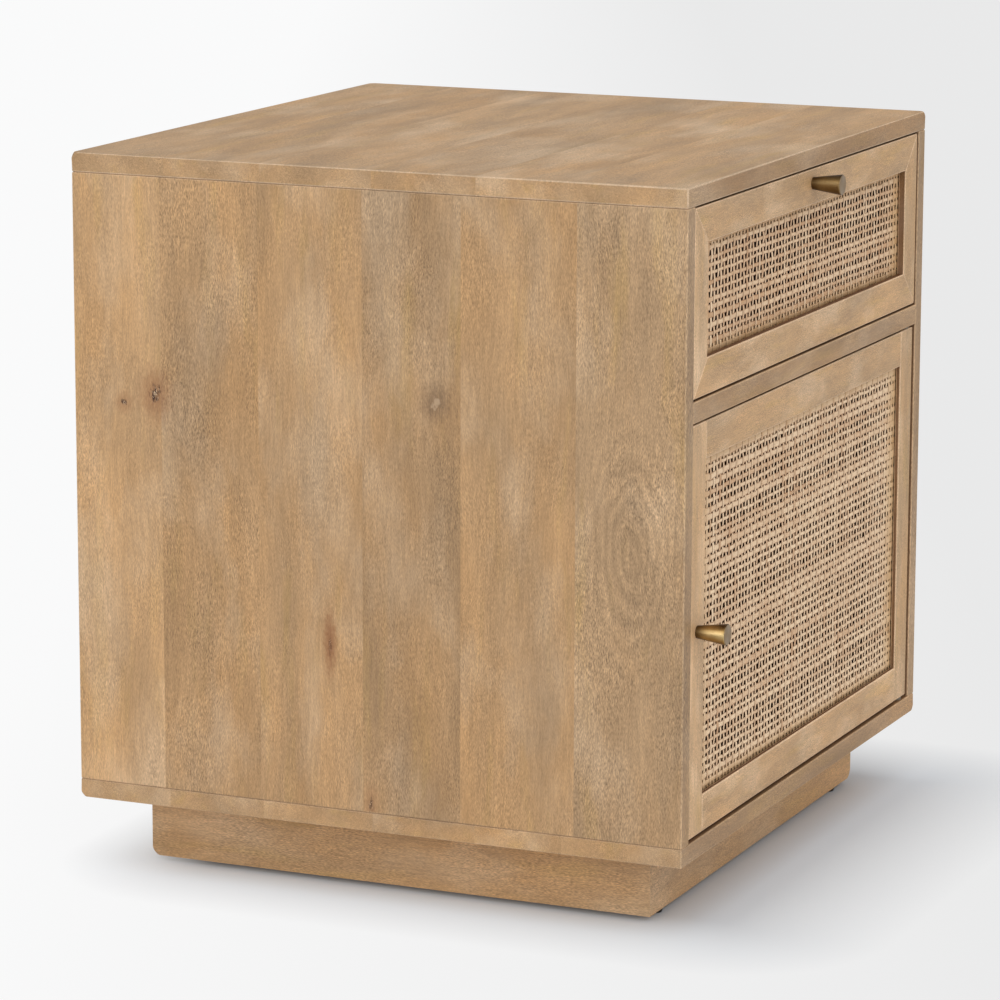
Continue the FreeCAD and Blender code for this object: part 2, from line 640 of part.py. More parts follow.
DRAWER_RIGHT = f"{DRAWER_LEFT} + {DRAWER_WIDTH}"
DRAWER_TOP = f"{DRAWER_BASE} + {DRAWER_HEIGHT}"
drawer_members = (
    ("bottom_rail", DRAWER_WIDTH, DRAWER_LEFT, DRAWER_BASE, 0),
    ("right_stile", DRAWER_HEIGHT, DRAWER_RIGHT, DRAWER_BASE, -90),
    ("top_rail", DRAWER_WIDTH, DRAWER_RIGHT, DRAWER_TOP, 180),
    ("left_stile", DRAWER_HEIGHT, DRAWER_LEFT, DRAWER_TOP, 90),
)
for name, length, x, z, angle in drawer_members:
    bar = mitred(f"drawer_{name}_bar", length, "dims.drawer_frame_width", "dims.frame_thickness")
    rebate_depth = "dims.frame_thickness - dims.drawer_cane_depth + dims.overrun"
    rebate_size = (length, "dims.rebate_width + dims.overrun", rebate_depth)
    rebate = box(f"drawer_{name}_rebate", rebate_size, ("0", RAIL_SEAT, "-dims.overrun"))
    turn = FreeCAD.Rotation(FreeCAD.Vector(0, 1, 0), angle) * TO_FRONT
    shaped = place(carved(f"drawer_{name}_shaped", bar, [rebate]), (x, SUBFRONT_FACE, z), turn)
    tools = front_screws + [drawer_screw] if name.endswith("rail") else []
    if tools:
        subpart(carved(f"drawer_{name}", shaped, tools))
    else:
        shaped.Label = f"drawer_{name}"
        subpart(shaped)

cane_in_frame(
    "drawer",
    DRAWER_LEFT,
    DRAWER_FACE,
    DRAWER_BASE,
    DRAWER_WIDTH,
    DRAWER_HEIGHT,
    "dims.drawer_frame_width",
    "dims.drawer_cane_depth",
)

# Drawer box: its bottom slides in grooves in the front board and the sides, under the back
BOTTOM_BASE = f"({BOX_BASE} + dims.bottom_lift)"
BOTTOM_HALF = f"({BOX_HALF} - dims.box_board + dims.groove_depth)"
bottom_size = (f"2 * {BOTTOM_HALF}", f"{BOX_LENGTH} + dims.groove_depth", "dims.bottom_board")
bottom_corner = (f"-{BOTTOM_HALF}", f"{BOX_FRONT} - dims.groove_depth", BOTTOM_BASE)
drawer_bottom = box("drawer_bottom", bottom_size, bottom_corner)
subpart(drawer_bottom)

subfront_size = (f"2 * {BOX_HALF}", "dims.subfront_thickness", SUBFRONT_HEIGHT)
subfront_corner = (f"-{BOX_HALF}", SUBFRONT_FACE, f"{DRAWER_BASE} + dims.subfront_margin")
subfront = box("subfront_board", subfront_size, subfront_corner)
subpart(carved("drawer_box_front", subfront, front_screws + [drawer_screw, drawer_bottom]))

side_size = ("dims.box_board", BOX_LENGTH, "dims.box_height")
for side, x in (("left", f"-{BOX_HALF}"), ("right", f"{BOX_HALF} - dims.box_board")):
    board = box(f"drawer_{side}_board", side_size, (x, BOX_FRONT, BOX_BASE))
    subpart(carved(f"drawer_box_{side}_side", board, [drawer_bottom] + inner_screws[side]))

back_base = f"{BOTTOM_BASE} + dims.bottom_board"
back_size = (
    f"2 * ({BOX_HALF} - dims.box_board)",
    "dims.box_board",
    "dims.box_height - dims.bottom_lift - dims.bottom_board",
)
back_corner = (f"-{BOX_HALF} + dims.box_board", f"{BOX_FRONT} + {BOX_LENGTH} - dims.box_board", back_base)
subpart(box("drawer_box_back", back_size, back_corner))

# Door: rails tenoned into full-height stiles round the cane
DOOR_WIDTH = f"(2 * {INNER} - dims.door_gap - dims.door_hinge_gap)"
DOOR_HEIGHT = f"({DOOR_TOP} - {DOOR_BASE})"
DOOR_SEAT = "(dims.door_frame_width - dims.rebate_width)"
RAIL_LEFT = f"({DOOR_LEFT} + dims.door_frame_width)"
RAIL_LENGTH = f"({DOOR_WIDTH} - 2 * dims.door_frame_width)"
REBATE_DEPTH = "(dims.frame_thickness - dims.door_cane_depth + dims.overrun)"
TENON_Y = f"{DOOR_FACE} + (dims.frame_thickness - dims.tenon_thickness) / 2"
TENON_SIZE = (
    f"{RAIL_LENGTH} + 2 * dims.tenon_length",
    "dims.tenon_thickness",
    f"{DOOR_SEAT} - 2 * dims.tenon_shoulder",
)

door_knob_x = f"{DOOR_LEFT} + dims.door_frame_width / 2"
door_knob_z = f"{DOOR_BASE} + {DOOR_HEIGHT} / 2"
door_screw = knob_screw("door_knob_screw", door_knob_x, DOOR_BACK, door_knob_z, "dims.frame_thickness")
knob("door_knob", door_knob_x, DOOR_FACE, door_knob_z, door_screw)

# Bushes pressed into the hinge stile's ends, each with a flange in the gap over or under the door
bushes = []
for name, start, turn in (
    ("lower", DOOR_BASE, UPWARD),
    ("upper", DOOR_TOP, FreeCAD.Rotation(FreeCAD.Vector(1, 0, 0), 180)),
):
    origin = ("0", "0", "0")
    sleeve = rod(f"{name}_bush_sleeve", "dims.bush_diameter", "dims.bush_length", origin)
    rim_start = ("0", "0", "-dims.bush_flange")
    flange = rod(f"{name}_bush_rim", "dims.bush_flange_diameter", "dims.bush_flange", rim_start)
    bore_length = "dims.bush_length + dims.bush_flange + 2 * dims.overrun"
    bore = rod(f"{name}_bush_bore", PIN_BORE, bore_length, ("0", "0", "-dims.bush_flange - dims.overrun"))
    bush = carved(f"{name}_bush", fused(f"{name}_bush_blank", [sleeve, flange]), [bore])
    bushes.append(place(bush, (PIVOT_X, PIVOT_Y, start), turn))
subpart(group("door_pivot_bushes", bushes))

# Solid cores that bore the stile out to the bushes' full diameter
bush_seats = []
for name, start in (("lower", DOOR_BASE), ("upper", f"{DOOR_TOP} - dims.bush_length")):
    spot = (PIVOT_X, PIVOT_Y, start)
    bush_seats.append(rod(f"{name}_bush_seat", "dims.bush_diameter", "dims.bush_length", spot))

# Plate for the catch, screwed to the back of the top rail
PLATE_X = f"({CATCH_X} + (dims.catch_length - dims.catch_plate_length) / 2)"
PLATE_Z = f"({CATCH_Z} + (dims.catch_height - dims.catch_plate_height) / 2)"
plate_size = ("dims.catch_plate_length", "dims.catch_plate_thickness", "dims.catch_plate_height")
plate_blank = box("catch_plate_blank", plate_size, (PLATE_X, DOOR_BACK, PLATE_Z))
plate_spot = (
    f"{PLATE_X} + dims.catch_plate_length / 2",
    f"{DOOR_BACK} + dims.catch_plate_thickness",
    f"{PLATE_Z} + dims.catch_plate_height / 2",
)
plate_screw = screw("catch_plate_screw", "plate_screw", "dims.plate_screw_length", plate_spot, TO_FRONT)
subpart(plate_screw)
subpart(carved("catch_plate", plate_blank, [plate_screw]))

tenons = {}
for name, base, tenon_base, rebate_base in (
    ("bottom", DOOR_BASE, f"{DOOR_BASE} + dims.tenon_shoulder", f"{DOOR_BASE} + {DOOR_SEAT}"),
    (
        "top",
        f"{DOOR_TOP} - dims.door_frame_width",
        f"{DOOR_TOP} - {DOOR_SEAT} + dims.tenon_shoulder",
        f"{DOOR_TOP} - dims.door_frame_width - dims.overrun",
    ),
):
    rail = box(
        f"door_{name}_bar",
        (RAIL_LENGTH, "dims.frame_thickness", "dims.door_frame_width"),
        (RAIL_LEFT, DOOR_FACE, base),
    )
    tenon_corner = (f"{RAIL_LEFT} - dims.tenon_length", TENON_Y, tenon_base)
    tenons[name] = box(f"door_{name}_tenon", TENON_SIZE, tenon_corner)
    rebate = box(
        f"door_{name}_rebate",
        (RAIL_LENGTH, REBATE_DEPTH, "dims.rebate_width + dims.overrun"),
        (RAIL_LEFT, f"{DOOR_FACE} + dims.door_cane_depth", rebate_base),
    )
    blank = fused(f"door_{name}_blank", [rail, tenons[name]])
    tools = [rebate, plate_screw] if name == "top" else [rebate]
    subpart(carved(f"door_{name}_rail", blank, tools))

stile_size = ("dims.door_frame_width", "dims.frame_thickness", DOOR_HEIGHT)
for side, x, rebate_x, extra in (
    ("left", DOOR_LEFT, f"{DOOR_LEFT} + {DOOR_SEAT}", [door_screw]),
    ("right", f"{RAIL_LEFT} + {RAIL_LENGTH}", f"{RAIL_LEFT} + {RAIL_LENGTH} - dims.overrun", bush_seats),
):
    stile = box(f"door_{side}_bar", stile_size, (x, DOOR_FACE, DOOR_BASE))
    rebate = box(
        f"door_{side}_rebate",
        ("dims.rebate_width + dims.overrun", REBATE_DEPTH, f"{DOOR_HEIGHT} - 2 * {DOOR_SEAT}"),
        (rebate_x, f"{DOOR_FACE} + dims.door_cane_depth", f"{DOOR_BASE} + {DOOR_SEAT}"),
    )
    subpart(carved(f"door_{side}_stile", stile, [rebate, tenons["bottom"], tenons["top"]] + extra))

cane_in_frame(
    "door",
    DOOR_LEFT,
    DOOR_FACE,
    DOOR_BASE,
    DOOR_WIDTH,
    DOOR_HEIGHT,
    "dims.door_frame_width",
    "dims.door_cane_depth",
)

doc.recompute()
for obj in doc.Objects:
    if "Invalid" in obj.State or "Error" in obj.State:
        raise RuntimeError(f"{obj.Label} did not build: {obj.State}")
for obj in subparts:
    if obj.Shape.isNull() or not obj.Shape.isValid() or not obj.Shape.Solids:
        raise RuntimeError(f"{obj.Label} has no valid solid")

os.makedirs("parts", exist_ok=True)
for obj in subparts:
    obj.Shape.exportStep(f"parts/{obj.Label}.step")
print(len(subparts), "pieces written")
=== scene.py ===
import json
import math
from dataclasses import dataclass

import bpy
import numpy as np
from bpy.props import FloatProperty, FloatVectorProperty, IntProperty, PointerProperty
from mathutils import Matrix, Vector


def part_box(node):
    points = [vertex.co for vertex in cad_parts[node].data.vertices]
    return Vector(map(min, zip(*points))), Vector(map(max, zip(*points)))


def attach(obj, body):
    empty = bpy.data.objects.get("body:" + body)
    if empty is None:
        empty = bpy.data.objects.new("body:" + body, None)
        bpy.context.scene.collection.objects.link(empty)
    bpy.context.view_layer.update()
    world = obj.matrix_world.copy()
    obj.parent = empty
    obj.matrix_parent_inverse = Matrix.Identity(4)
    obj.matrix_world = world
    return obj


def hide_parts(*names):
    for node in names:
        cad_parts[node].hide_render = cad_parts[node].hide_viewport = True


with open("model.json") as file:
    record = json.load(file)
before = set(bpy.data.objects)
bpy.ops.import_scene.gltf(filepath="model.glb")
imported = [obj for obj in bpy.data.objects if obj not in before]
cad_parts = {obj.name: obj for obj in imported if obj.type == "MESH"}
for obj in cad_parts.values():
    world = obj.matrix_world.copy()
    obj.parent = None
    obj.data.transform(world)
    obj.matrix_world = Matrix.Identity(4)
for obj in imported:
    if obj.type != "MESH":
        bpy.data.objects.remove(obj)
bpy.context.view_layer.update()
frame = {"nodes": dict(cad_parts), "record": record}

bl_info = {
    "name": "Cane-fronted side cabinet",
    "version": (1, 0, 0),
    "blender": (4, 5, 0),
    "location": "View3D > Sidebar > Cabinet",
    "description": "Dresses a wooden side cabinet with a cane-fronted drawer and door",
    "category": "Object",
}

NODES = frame["nodes"]
BODY_OF = {node: body for body, nodes in frame["record"]["behaviour"]["bodies"].items() for node in nodes}
MM = 0.001
AXES = "XYZ"


def linear(colour):
    """Linear RGBA of an sRGB hex colour."""
    shares = [int(colour[i : i + 2], 16) / 255 for i in (1, 3, 5)]
    return (*(s / 12.92 if s <= 0.04045 else ((s + 0.055) / 1.055) ** 2.4 for s in shares), 1.0)


def tint(name, description, colour):
    """Colour property with an sRGB hex colour as its start."""
    return FloatVectorProperty(
        name=name, description=description, subtype="COLOR", size=4, min=0, max=1, default=linear(colour)
    )


def length(name, description, millimetres):
    """Length property with a start in millimetres."""
    return FloatProperty(name=name, description=description, unit="LENGTH", min=0, default=millimetres * MM)


class WoodLooks(bpy.types.PropertyGroup):
    """Colours of the timber and the sizes of its grain."""

    warm: tint("Warm wood", "Mango wood at its warmest, golden tan", "#ba9265")
    grey: tint("Grey wood", "Mango wood at its greyest, sandy brown", "#a98b69")
    ochre: tint("Ochre wood", "Yellow streaks in the wood", "#b69459")
    haze: tint("Hazy wood", "Where the finish lies paler", "#c6aa8a")
    russet: tint("Russet wood", "Wood round a knot", "#8c5d3b")
    knot: tint("Knot", "Heart of a knot", "#3d261c")
    # Painted shade: the dark colour laid on gaps, rebates, the grooves at joints and the inside, where shade
    # falls, and a little on the panels' front edges
    seam: tint("Seam", "Finish gathered in gaps, rebates and the inside", "#4b2206")
    # Nearly black colour of the board behind the drawer's cane, which makes its slits dark
    stain: tint("Stain", "Board behind the drawer's cane", "#250f04")
    arris: length("Arris", "Width of the eased edges", 0.9)
    # Partly wear and partly a painted highlight: the colour that the eased edges are lightened towards
    rubbed_and_highlit: tint("Rubbed wood", "Wood on the eased edges, rubbed pale", "#cdb294")
    pore_width: length("Pore width", "Width of a pore, drawn coarser than life so that it shows", 0.5)
    pore_length: length("Pore length", "Length of a pore along the grain", 2.8)
    line_width: length("Line width", "Width of the fine grain lines", 1.6)
    streak_width: length("Streak width", "Width of the broad streaks", 18)


class CaneLooks(bpy.types.PropertyGroup):
    """Sizes and colours of the woven cane."""

    upright_pitch: length("Upright pitch", "Distance between upright strips", 6.7)
    upright_width: length("Upright width", "Width of an upright strip", 3.5)
    cross_pitch: length("Cross pitch", "Distance between cross strips", 6.3)
    door_cross_width: length("Door cross width", "Mean width of the door's cross strips", 3.9)
    drawer_cross_width: length("Drawer cross width", "Mean width of the drawer's cross strips", 3.15)
    thickness: length("Thickness", "Thickness of a strip", 0.42)
    rise: length("Rise", "How far a strip bows to either side as it passes over and under", 0.22)
    wander: length("Wander", "How far a strip strays from its even place", 0.95)
    seed: IntProperty(name="Seed", description="Start of the even, repeatable scatter", default=7)
    pale: tint("Pale cane", "Clean strip", "#f0d4b1")
    stained: tint("Stained cane", "Greyish, weathered strip", "#c9a17b")
    ochre: tint("Ochre cane", "Strips along the frame, where glue has soaked in", "#c99f66")
    browned: tint("Browned cane", "Edges of the strips, where the skin is cut", "#7a4014")
    # Painted shade: the dark colour on the strips' walls and ends, and on the cane at the foot and the right
    # of the opening
    painted_as_shade: tint("Gathered finish", "Dark finish in the slits and along the corner", "#200d03")


class StageLooks(bpy.types.PropertyGroup):
    """Viewpoint, light and floor."""

    azimuth: FloatProperty(name="Azimuth", description="Camera's turn about the cabinet", default=-66.35)
    elevation: FloatProperty(name="Elevation", description="Camera's height as an angle", default=11.42)
    roll: FloatProperty(name="Roll", description="Camera's tilt about its line of sight", default=0.16)
    distance: length("Distance", "From the camera to the middle of the carcass", 3656)
    aside: length("Aside", "How far the camera stands to its left of that line", 11)
    below: length("Below", "How far the camera stands below that line", 17.9)
    lens: FloatProperty(name="Lens", description="Focal length in millimetres", default=165.1)
    sky: FloatProperty(name="Sky", description="Strength of the even light", default=0.72)
    key: FloatProperty(name="Key", description="Strength of the soft light from the left", default=1.1)
    key_size: FloatProperty(name="Key size", description="Angle that the soft light fills", default=70)
    floor_left: tint("Floor, left", "Pale floor at the left of the view", "#fbfbfb")
    floor_right: tint("Floor, right", "Pale floor at the right of the view", "#eaeaea")
    # Painted shadow: the tone that dims the floor near the plinth
    floor_shade: tint("Floor, shaded", "Tone that the shaded floor is dimmed by", "#e3e8ee")
    shade_reach: length("Shade reach", "How far from the plinth the floor still takes shadows", 130)
    shade_aside: length("Shade aside", "How far the shaded floor lies to the right of the plinth", 58)


def looks(kind):
    """The scene's values for wood, cane or stage."""
    return getattr(bpy.context.scene, f"cabinet_{kind}")


def node(tree, kind, inputs=None, stops=None, **settings):
    """Adds a shader node with its settings; inputs holds values, or outputs to link, by name or number."""
    made = tree.nodes.new(f"ShaderNode{kind}")
    for name, value in settings.items():
        setattr(made, name, value)
    for key, value in (inputs or {}).items():
        if isinstance(value, bpy.types.NodeSocket):
            tree.links.new(value, made.inputs[key])
        else:
            made.inputs[key].default_value = value
    if stops:
        elements = made.color_ramp.elements
        while len(elements) > 1:
            elements.remove(elements[-1])
        elements[0].position, elements[0].color = stops[0]
        for position, colour in stops[1:]:
            elements.new(position).color = colour
    return made


def new_material(name, **surface):
    """Empty material with a Principled shader whose even values are set on its own sockets."""
    material = bpy.data.materials.new(name)
    material.use_nodes = True
    tree = material.node_tree
    tree.nodes.clear()
    shader = node(tree, "BsdfPrincipled", surface)
    node(tree, "OutputMaterial", {"Surface": shader.outputs[0]})
    place = node(tree, "TexCoord").outputs["Object"]
    return material, tree, shader, place


# Wood


@dataclass
class Board:
    """One board of a glued-up panel: its width, its tone (1 is plain), how warm and how flecked it is."""

    width: float
    tone: float = 1.0
    warm: float = 0.5
    fleck: float = 0.3


@dataclass
class Plane:
    """A flat face darkened with painted shade: its axis, its place in metres and how dark it is, 0 to 1.

    The depth, in millimetres, is how far off the face the painted shade still reaches."""

    axis: str
    place: float
    dark: float
    depth: float = 0.1


@dataclass
class Knot:
    """A knot in a side panel: its middle and half-sizes in millimetres, and how strongly it shows.

    Dark is for its heart and ring for the wood round it; a sound knot has a pale heart."""

    y: float
    z: float
    wide: float
    tall: float
    dark: float
    ring: float = 0.4
    sound: bool = False


@dataclass
class Figure:
    """Curved grain in a side panel: its middle and half-sizes in millimetres, its rings and their depth."""

    y: float
    z: float
    wide: float
    tall: float
    rings: float
    depth: float


def stretched(along, across, grain):
    """Scales a place in metres so that noise has these sizes along and across the grain."""
    return [1 / (along if axis == grain else across) for axis in AXES]


def grain_noise(tree, place, along, across, grain, detail=2.0):
    """Noise drawn out along the grain, about 0.5 in the mean."""
    spot = node(tree, "VectorMath", {0: place, 1: stretched(along, across, grain)}, operation="MULTIPLY")
    return node(tree, "TexNoise", {"Vector": spot.outputs[0], "Scale": 1, "Detail": detail})


def darkened(tree, apart, planes, colour):
    """Mixes the painted shade of each plane on which a place lies into a colour."""
    seam = looks("wood").seam
    for plane in planes:
        near = {0: apart.outputs[plane.axis], 1: plane.place, 2: plane.depth * MM}
        amount = node(tree, "Math", near, operation="COMPARE").outputs[0]
        amount = node(tree, "Math", {0: amount, 1: plane.dark}, operation="MULTIPLY").outputs[0]
        colour = node(tree, "Mix", {0: amount, 6: colour, 7: seam}, data_type="RGBA").outputs[2]
    return colour


def reach_of(tree, place, mark):
    """How far a place lies from a mark's middle, as a share of the mark's size."""
    middle = (0, mark.y * MM, mark.z * MM)
    away = node(tree, "VectorMath", {0: place, 1: middle}, operation="SUBTRACT").outputs[0]
    shares = (0, 1 / (mark.wide * MM), 1 / (mark.tall * MM))
    scaled = node(tree, "VectorMath", {0: away, 1: shares}, operation="MULTIPLY").outputs[0]
    return node(tree, "VectorMath", {0: scaled}, operation="LENGTH").outputs["Value"]


# How far apart in metres the boards' grain is taken from at most, and each board's step of that
GRAIN_APART = (3.1, 7.7, 5.3)
BOARD_STEP = 0.137
# Ripple of a knot's rim along and across the grain, and the shares by which knots and rings are ragged
KNOT_RIPPLE = (4 * MM, 2.2 * MM)
KNOT_RAGGED = 2.6
RING_RAGGED = 0.22
# Rings darken the wood more than they lighten it
RING_SUNK = 0.7
# Cracks in a knot's heart: their size along and across the grain, and how much of it they fill
CRACK_SIZE = (5 * MM, 3 * MM)
CRACK_SHARE = 0.018
# Sheen of oiled faces and of arrises rubbed dull
FACE_SHEEN = 0.3
ARRIS_SHEEN = 0.1


def mango_wood(name, grain, boards, split, span, seed, marks, planes, pale=0.0, fine=1.0):
    """Mango wood, planed and oiled: sandy tan with short pores, soft clouds and a satin sheen.

    Boards lie side by side along the split axis over the span, each with its own grain. Marks are knots and
    figures, planes are faces darkened with painted shade, pale is how far the wood is lightened, partly as
    wear and partly as a painted highlight, and fine draws the grain smaller."""
    wood = looks("wood")
    sheen = ARRIS_SHEEN if pale else FACE_SHEEN
    material, tree, shader, place = new_material(name, **{"IOR": 1.5, "Specular IOR Level": sheen})
    # One ramp holds every board's tone (halved, to stay below 1), warmth, fleck and place of its grain
    total = sum(board.width for board in boards)
    stops = []
    start = 0.0
    for number, board in enumerate(boards):
        own_grain = (seed + BOARD_STEP * number) % 1
        stops.append((start / total, (board.tone / 2, board.warm, board.fleck, own_grain)))
        start += board.width
    apart = node(tree, "SeparateXYZ", {0: place})
    low, high = span
    share = node(tree, "MapRange", {"Value": apart.outputs[split], "From Min": low, "From Max": high})
    ramp = node(tree, "ValToRGB", {0: share.outputs[0]}, stops=stops)
    ramp.color_ramp.interpolation = "CONSTANT"
    half_tone, warm, fleck = node(tree, "SeparateColor", {0: ramp.outputs[0]}).outputs
    spread = node(tree, "VectorMath", {0: place, "Scale": fine}, operation="SCALE").outputs[0]
    shift = {0: ramp.outputs["Alpha"], 1: GRAIN_APART, 2: spread}
    flow = node(tree, "VectorMath", shift, operation="MULTIPLY_ADD").outputs[0]

    # The grain sways and ripples: size along and across it, and how far, all in millimetres
    for along, across, sway in ((160, 60, 20), (30, 12, 3)):
        bend = grain_noise(tree, flow, along * MM, across * MM, grain, 1)
        shift = {0: bend.outputs["Color"], 1: (sway * MM,) * 3, 2: flow}
        flow = node(tree, "VectorMath", shift, operation="MULTIPLY_ADD").outputs[0]
    ragged = bend.outputs[0]
    knots, gains = [], []
    for mark in marks:
        reach = reach_of(tree, place, mark)
        if isinstance(mark, Knot):
            crumb = grain_noise(tree, place, *KNOT_RIPPLE, grain).outputs[0]
            rim = node(tree, "Math", {0: crumb, 1: KNOT_RAGGED, 2: reach}, operation="MULTIPLY_ADD")
            knots.append((rim.outputs[0], mark))
        else:
            ring = node(tree, "Math", {0: ragged, 1: RING_RAGGED, 2: reach}, operation="MULTIPLY_ADD")
            turn = node(tree, "Math", {0: ring.outputs[0], 1: math.tau * mark.rings}, operation="MULTIPLY")
            wave = node(tree, "Math", {0: turn.outputs[0]}, operation="SINE").outputs[0]
            wave = node(tree, "Math", {0: wave, 1: RING_SUNK}, operation="SUBTRACT").outputs[0]
            fade = {"Value": reach, "From Min": 0.3, "From Max": 1.1, "To Min": mark.depth, "To Max": 0}
            fade = node(tree, "MapRange", fade, interpolation_type="SMOOTHSTEP").outputs[0]
            gain = node(tree, "Math", {0: wave, 1: fade, 2: 1.0}, operation="MULTIPLY_ADD").outputs[0]
            gains.append(gain)

    # Tone: each layer lightens or darkens the board a little; the pores show in patches
    tone = node(tree, "Math", {0: half_tone, 1: 2.0}, operation="MULTIPLY").outputs[0]
    patch = grain_noise(tree, flow, 70 * MM, 35 * MM, grain).outputs[0]
    patch = {"Value": patch, "From Min": 0.38, "From Max": 0.62, "To Min": 0.5}
    patch = node(tree, "MapRange", patch).outputs[0]
    depth = node(tree, "MapRange", {"Value": fleck, "To Min": 0.45, "To Max": 1.3}).outputs[0]
    depth = node(tree, "Math", {0: depth, 1: patch}, operation="MULTIPLY").outputs[0]
    # Size of each layer along and across the grain, its strength and its detail
    layers = {}
    for key, along, across, strength, detail in (
        ("cloud", 150 * MM, 34 * MM, 0.36, 5),
        ("streak", 130 * MM, wood.streak_width, 0.15, 4),
        ("line", 25 * MM, wood.line_width, 0.26, 2),
        ("pore", wood.pore_length, wood.pore_width, depth, 2),
    ):
        layers[key] = grain_noise(tree, flow, along, across, grain, detail).outputs[0]
        off = node(tree, "Math", {0: layers[key], 1: 0.5}, operation="SUBTRACT").outputs[0]
        gain = node(tree, "Math", {0: off, 1: strength}, operation="MULTIPLY").outputs[0]
        gain = node(tree, "Math", {0: gain, 1: 2.0, 2: 1.0}, operation="MULTIPLY_ADD").outputs[0]
        gains.append(gain)
    for gain in gains:
        tone = node(tree, "Math", {0: tone, 1: gain}, operation="MULTIPLY").outputs[0]

    # Hue: each board lies between grey and warm and drifts along its length
    drift = grain_noise(tree, flow, 140 * MM, 40 * MM, grain, 4).outputs[0]
    drift = {"Value": drift, "From Min": 0.3, "From Max": 0.7, "To Min": -0.35, "To Max": 0.35}
    drift = node(tree, "MapRange", drift).outputs[0]
    warmth = node(tree, "Math", {0: warm, 1: drift}, operation="ADD", use_clamp=True).outputs[0]
    colour = node(tree, "Mix", {0: warmth, 6: wood.grey, 7: wood.warm}, data_type="RGBA").outputs[2]
    # Yellow streaks and pale haze: size along and across the grain, the noise at which each sets in and is
    # full, and its most
    for along, across, least, full, most, hue in (
        (130 * MM, 16 * MM, 0.55, 0.77, 0.45, wood.ochre),
        (110 * MM, 50 * MM, 0.48, 0.7, 0.65, wood.haze),
    ):
        amount = grain_noise(tree, flow, along, across, grain, 4).outputs[0]
        amount = {"Value": amount, "From Min": least, "From Max": full, "To Max": most}
        amount = node(tree, "MapRange", amount).outputs[0]
        colour = node(tree, "Mix", {0: amount, 6: colour, 7: hue}, data_type="RGBA").outputs[2]
    # Eased edges are lightened, partly as wear and partly as a painted highlight
    if pale:
        colour = node(tree, "Mix", {0: pale, 6: colour, 7: wood.rubbed_and_highlit}, data_type="RGBA").outputs[2]
    colour = node(tree, "VectorMath", {0: colour, "Scale": tone}, operation="SCALE").outputs[0]
    colour = darkened(tree, apart, planes, colour)
    # A loose knot's heart is dark with pale cracks, in reddish wood; a sound one's is pale, in brown wood.
    # Each row has the reach up to which it is full, the reach at which it ends, and its most
    crack = grain_noise(tree, place, *CRACK_SIZE, grain).outputs[0]
    crack = node(tree, "Math", {0: crack, 1: 0.5, 2: CRACK_SHARE}, operation="COMPARE").outputs[0]
    dark_heart = node(tree, "Mix", {0: crack, 6: wood.knot, 7: wood.haze}, data_type="RGBA").outputs[2]
    for reach, mark in knots:
        halo, heart = (wood.knot, wood.haze) if mark.sound else (wood.russet, dark_heart)
        for inner, outer, most, hue in ((1.6, 5, mark.ring, halo), (1.4, 2.3, mark.dark, heart)):
            amount = {"Value": reach, "From Min": inner, "From Max": outer, "To Min": most, "To Max": 0}
            amount = node(tree, "MapRange", amount, interpolation_type="SMOOTHSTEP").outputs[0]
            colour = node(tree, "Mix", {0: amount, 6: colour, 7: hue}, data_type="RGBA").outputs[2]
    tree.links.new(colour, shader.inputs["Base Color"])

    rough = node(tree, "MapRange", {"Value": layers["line"], "To Min": 0.46, "To Max": 0.62})
    tree.links.new(rough.outputs[0], shader.inputs["Roughness"])
    relief = node(tree, "Math", {0: layers["line"], 1: layers["pore"]}, operation="ADD")
    bump = node(tree, "Bump", {"Height": relief.outputs[0], "Strength": 0.25, "Distance": 0.1 * MM})
    tree.links.new(bump.outputs[0], shader.inputs["Normal"])
    return material


def ease_edges(piece, width):
    """Rounds a wooden piece's arrises; the rounding takes the piece's second material, lightened partly by
    wear and partly as a painted highlight.
    """
    weld = piece.modifiers.new("weld", "WELD")
    weld.merge_threshold = 0.01 * MM
    flat = piece.modifiers.new("flat_faces", "DECIMATE")
    flat.decimate_type = "DISSOLVE"
    flat.angle_limit = math.radians(0.5)
    bevel = piece.modifiers.new("arris", "BEVEL")
    bevel.width = width
    bevel.segments = 2
    bevel.limit_method = "ANGLE"
    bevel.angle_limit = math.radians(65)
    bevel.use_clamp_overlap = False
    bevel.loop_slide = False
    bevel.material = 1
    normals = piece.modifiers.new("shading", "WEIGHTED_NORMAL")
    normals.keep_sharp = True


def dress(nodes, *materials):
    """Gives CAD pieces their materials."""
    for name in nodes:
        slots = NODES[name].data.materials
        slots.clear()
        for material in materials:
            slots.append(material)


def wooden(
    nodes,
    name,
    grain,
    boards,
    split="Y",
    seed=0.0,
    marks=(),
    planes=(),
    painted_arris_shade=(),
    share=1.0,
    pale=0.4,
    fine=1.0,
):
    """Dresses wooden CAD pieces with boards that share one span, and eases their edges.

    Planes are faces darkened with painted shade, and the arris planes do the same for the eased edges where
    parts meet; elsewhere the eased edges are pale, partly from wear and partly as a painted highlight.
    Share is the eased edges' width against the usual one; at 0 they stay sharp."""
    boxes = [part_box(item) for item in nodes]
    axis = AXES.index(split)
    span = (min(low[axis] for low, high in boxes), max(high[axis] for low, high in boxes))
    timber = (grain, boards, split, span, seed)
    face = mango_wood(f"mango wood planed and oiled {name}", *timber, marks, planes, fine=fine)
    edge = mango_wood(f"mango wood rubbed arris {name}", *timber, (), painted_arris_shade, pale, fine)
    dress(nodes, face, edge)
    if share:
        for item in nodes:
            ease_edges(NODES[item], looks("wood").arris * share)


# Other materials


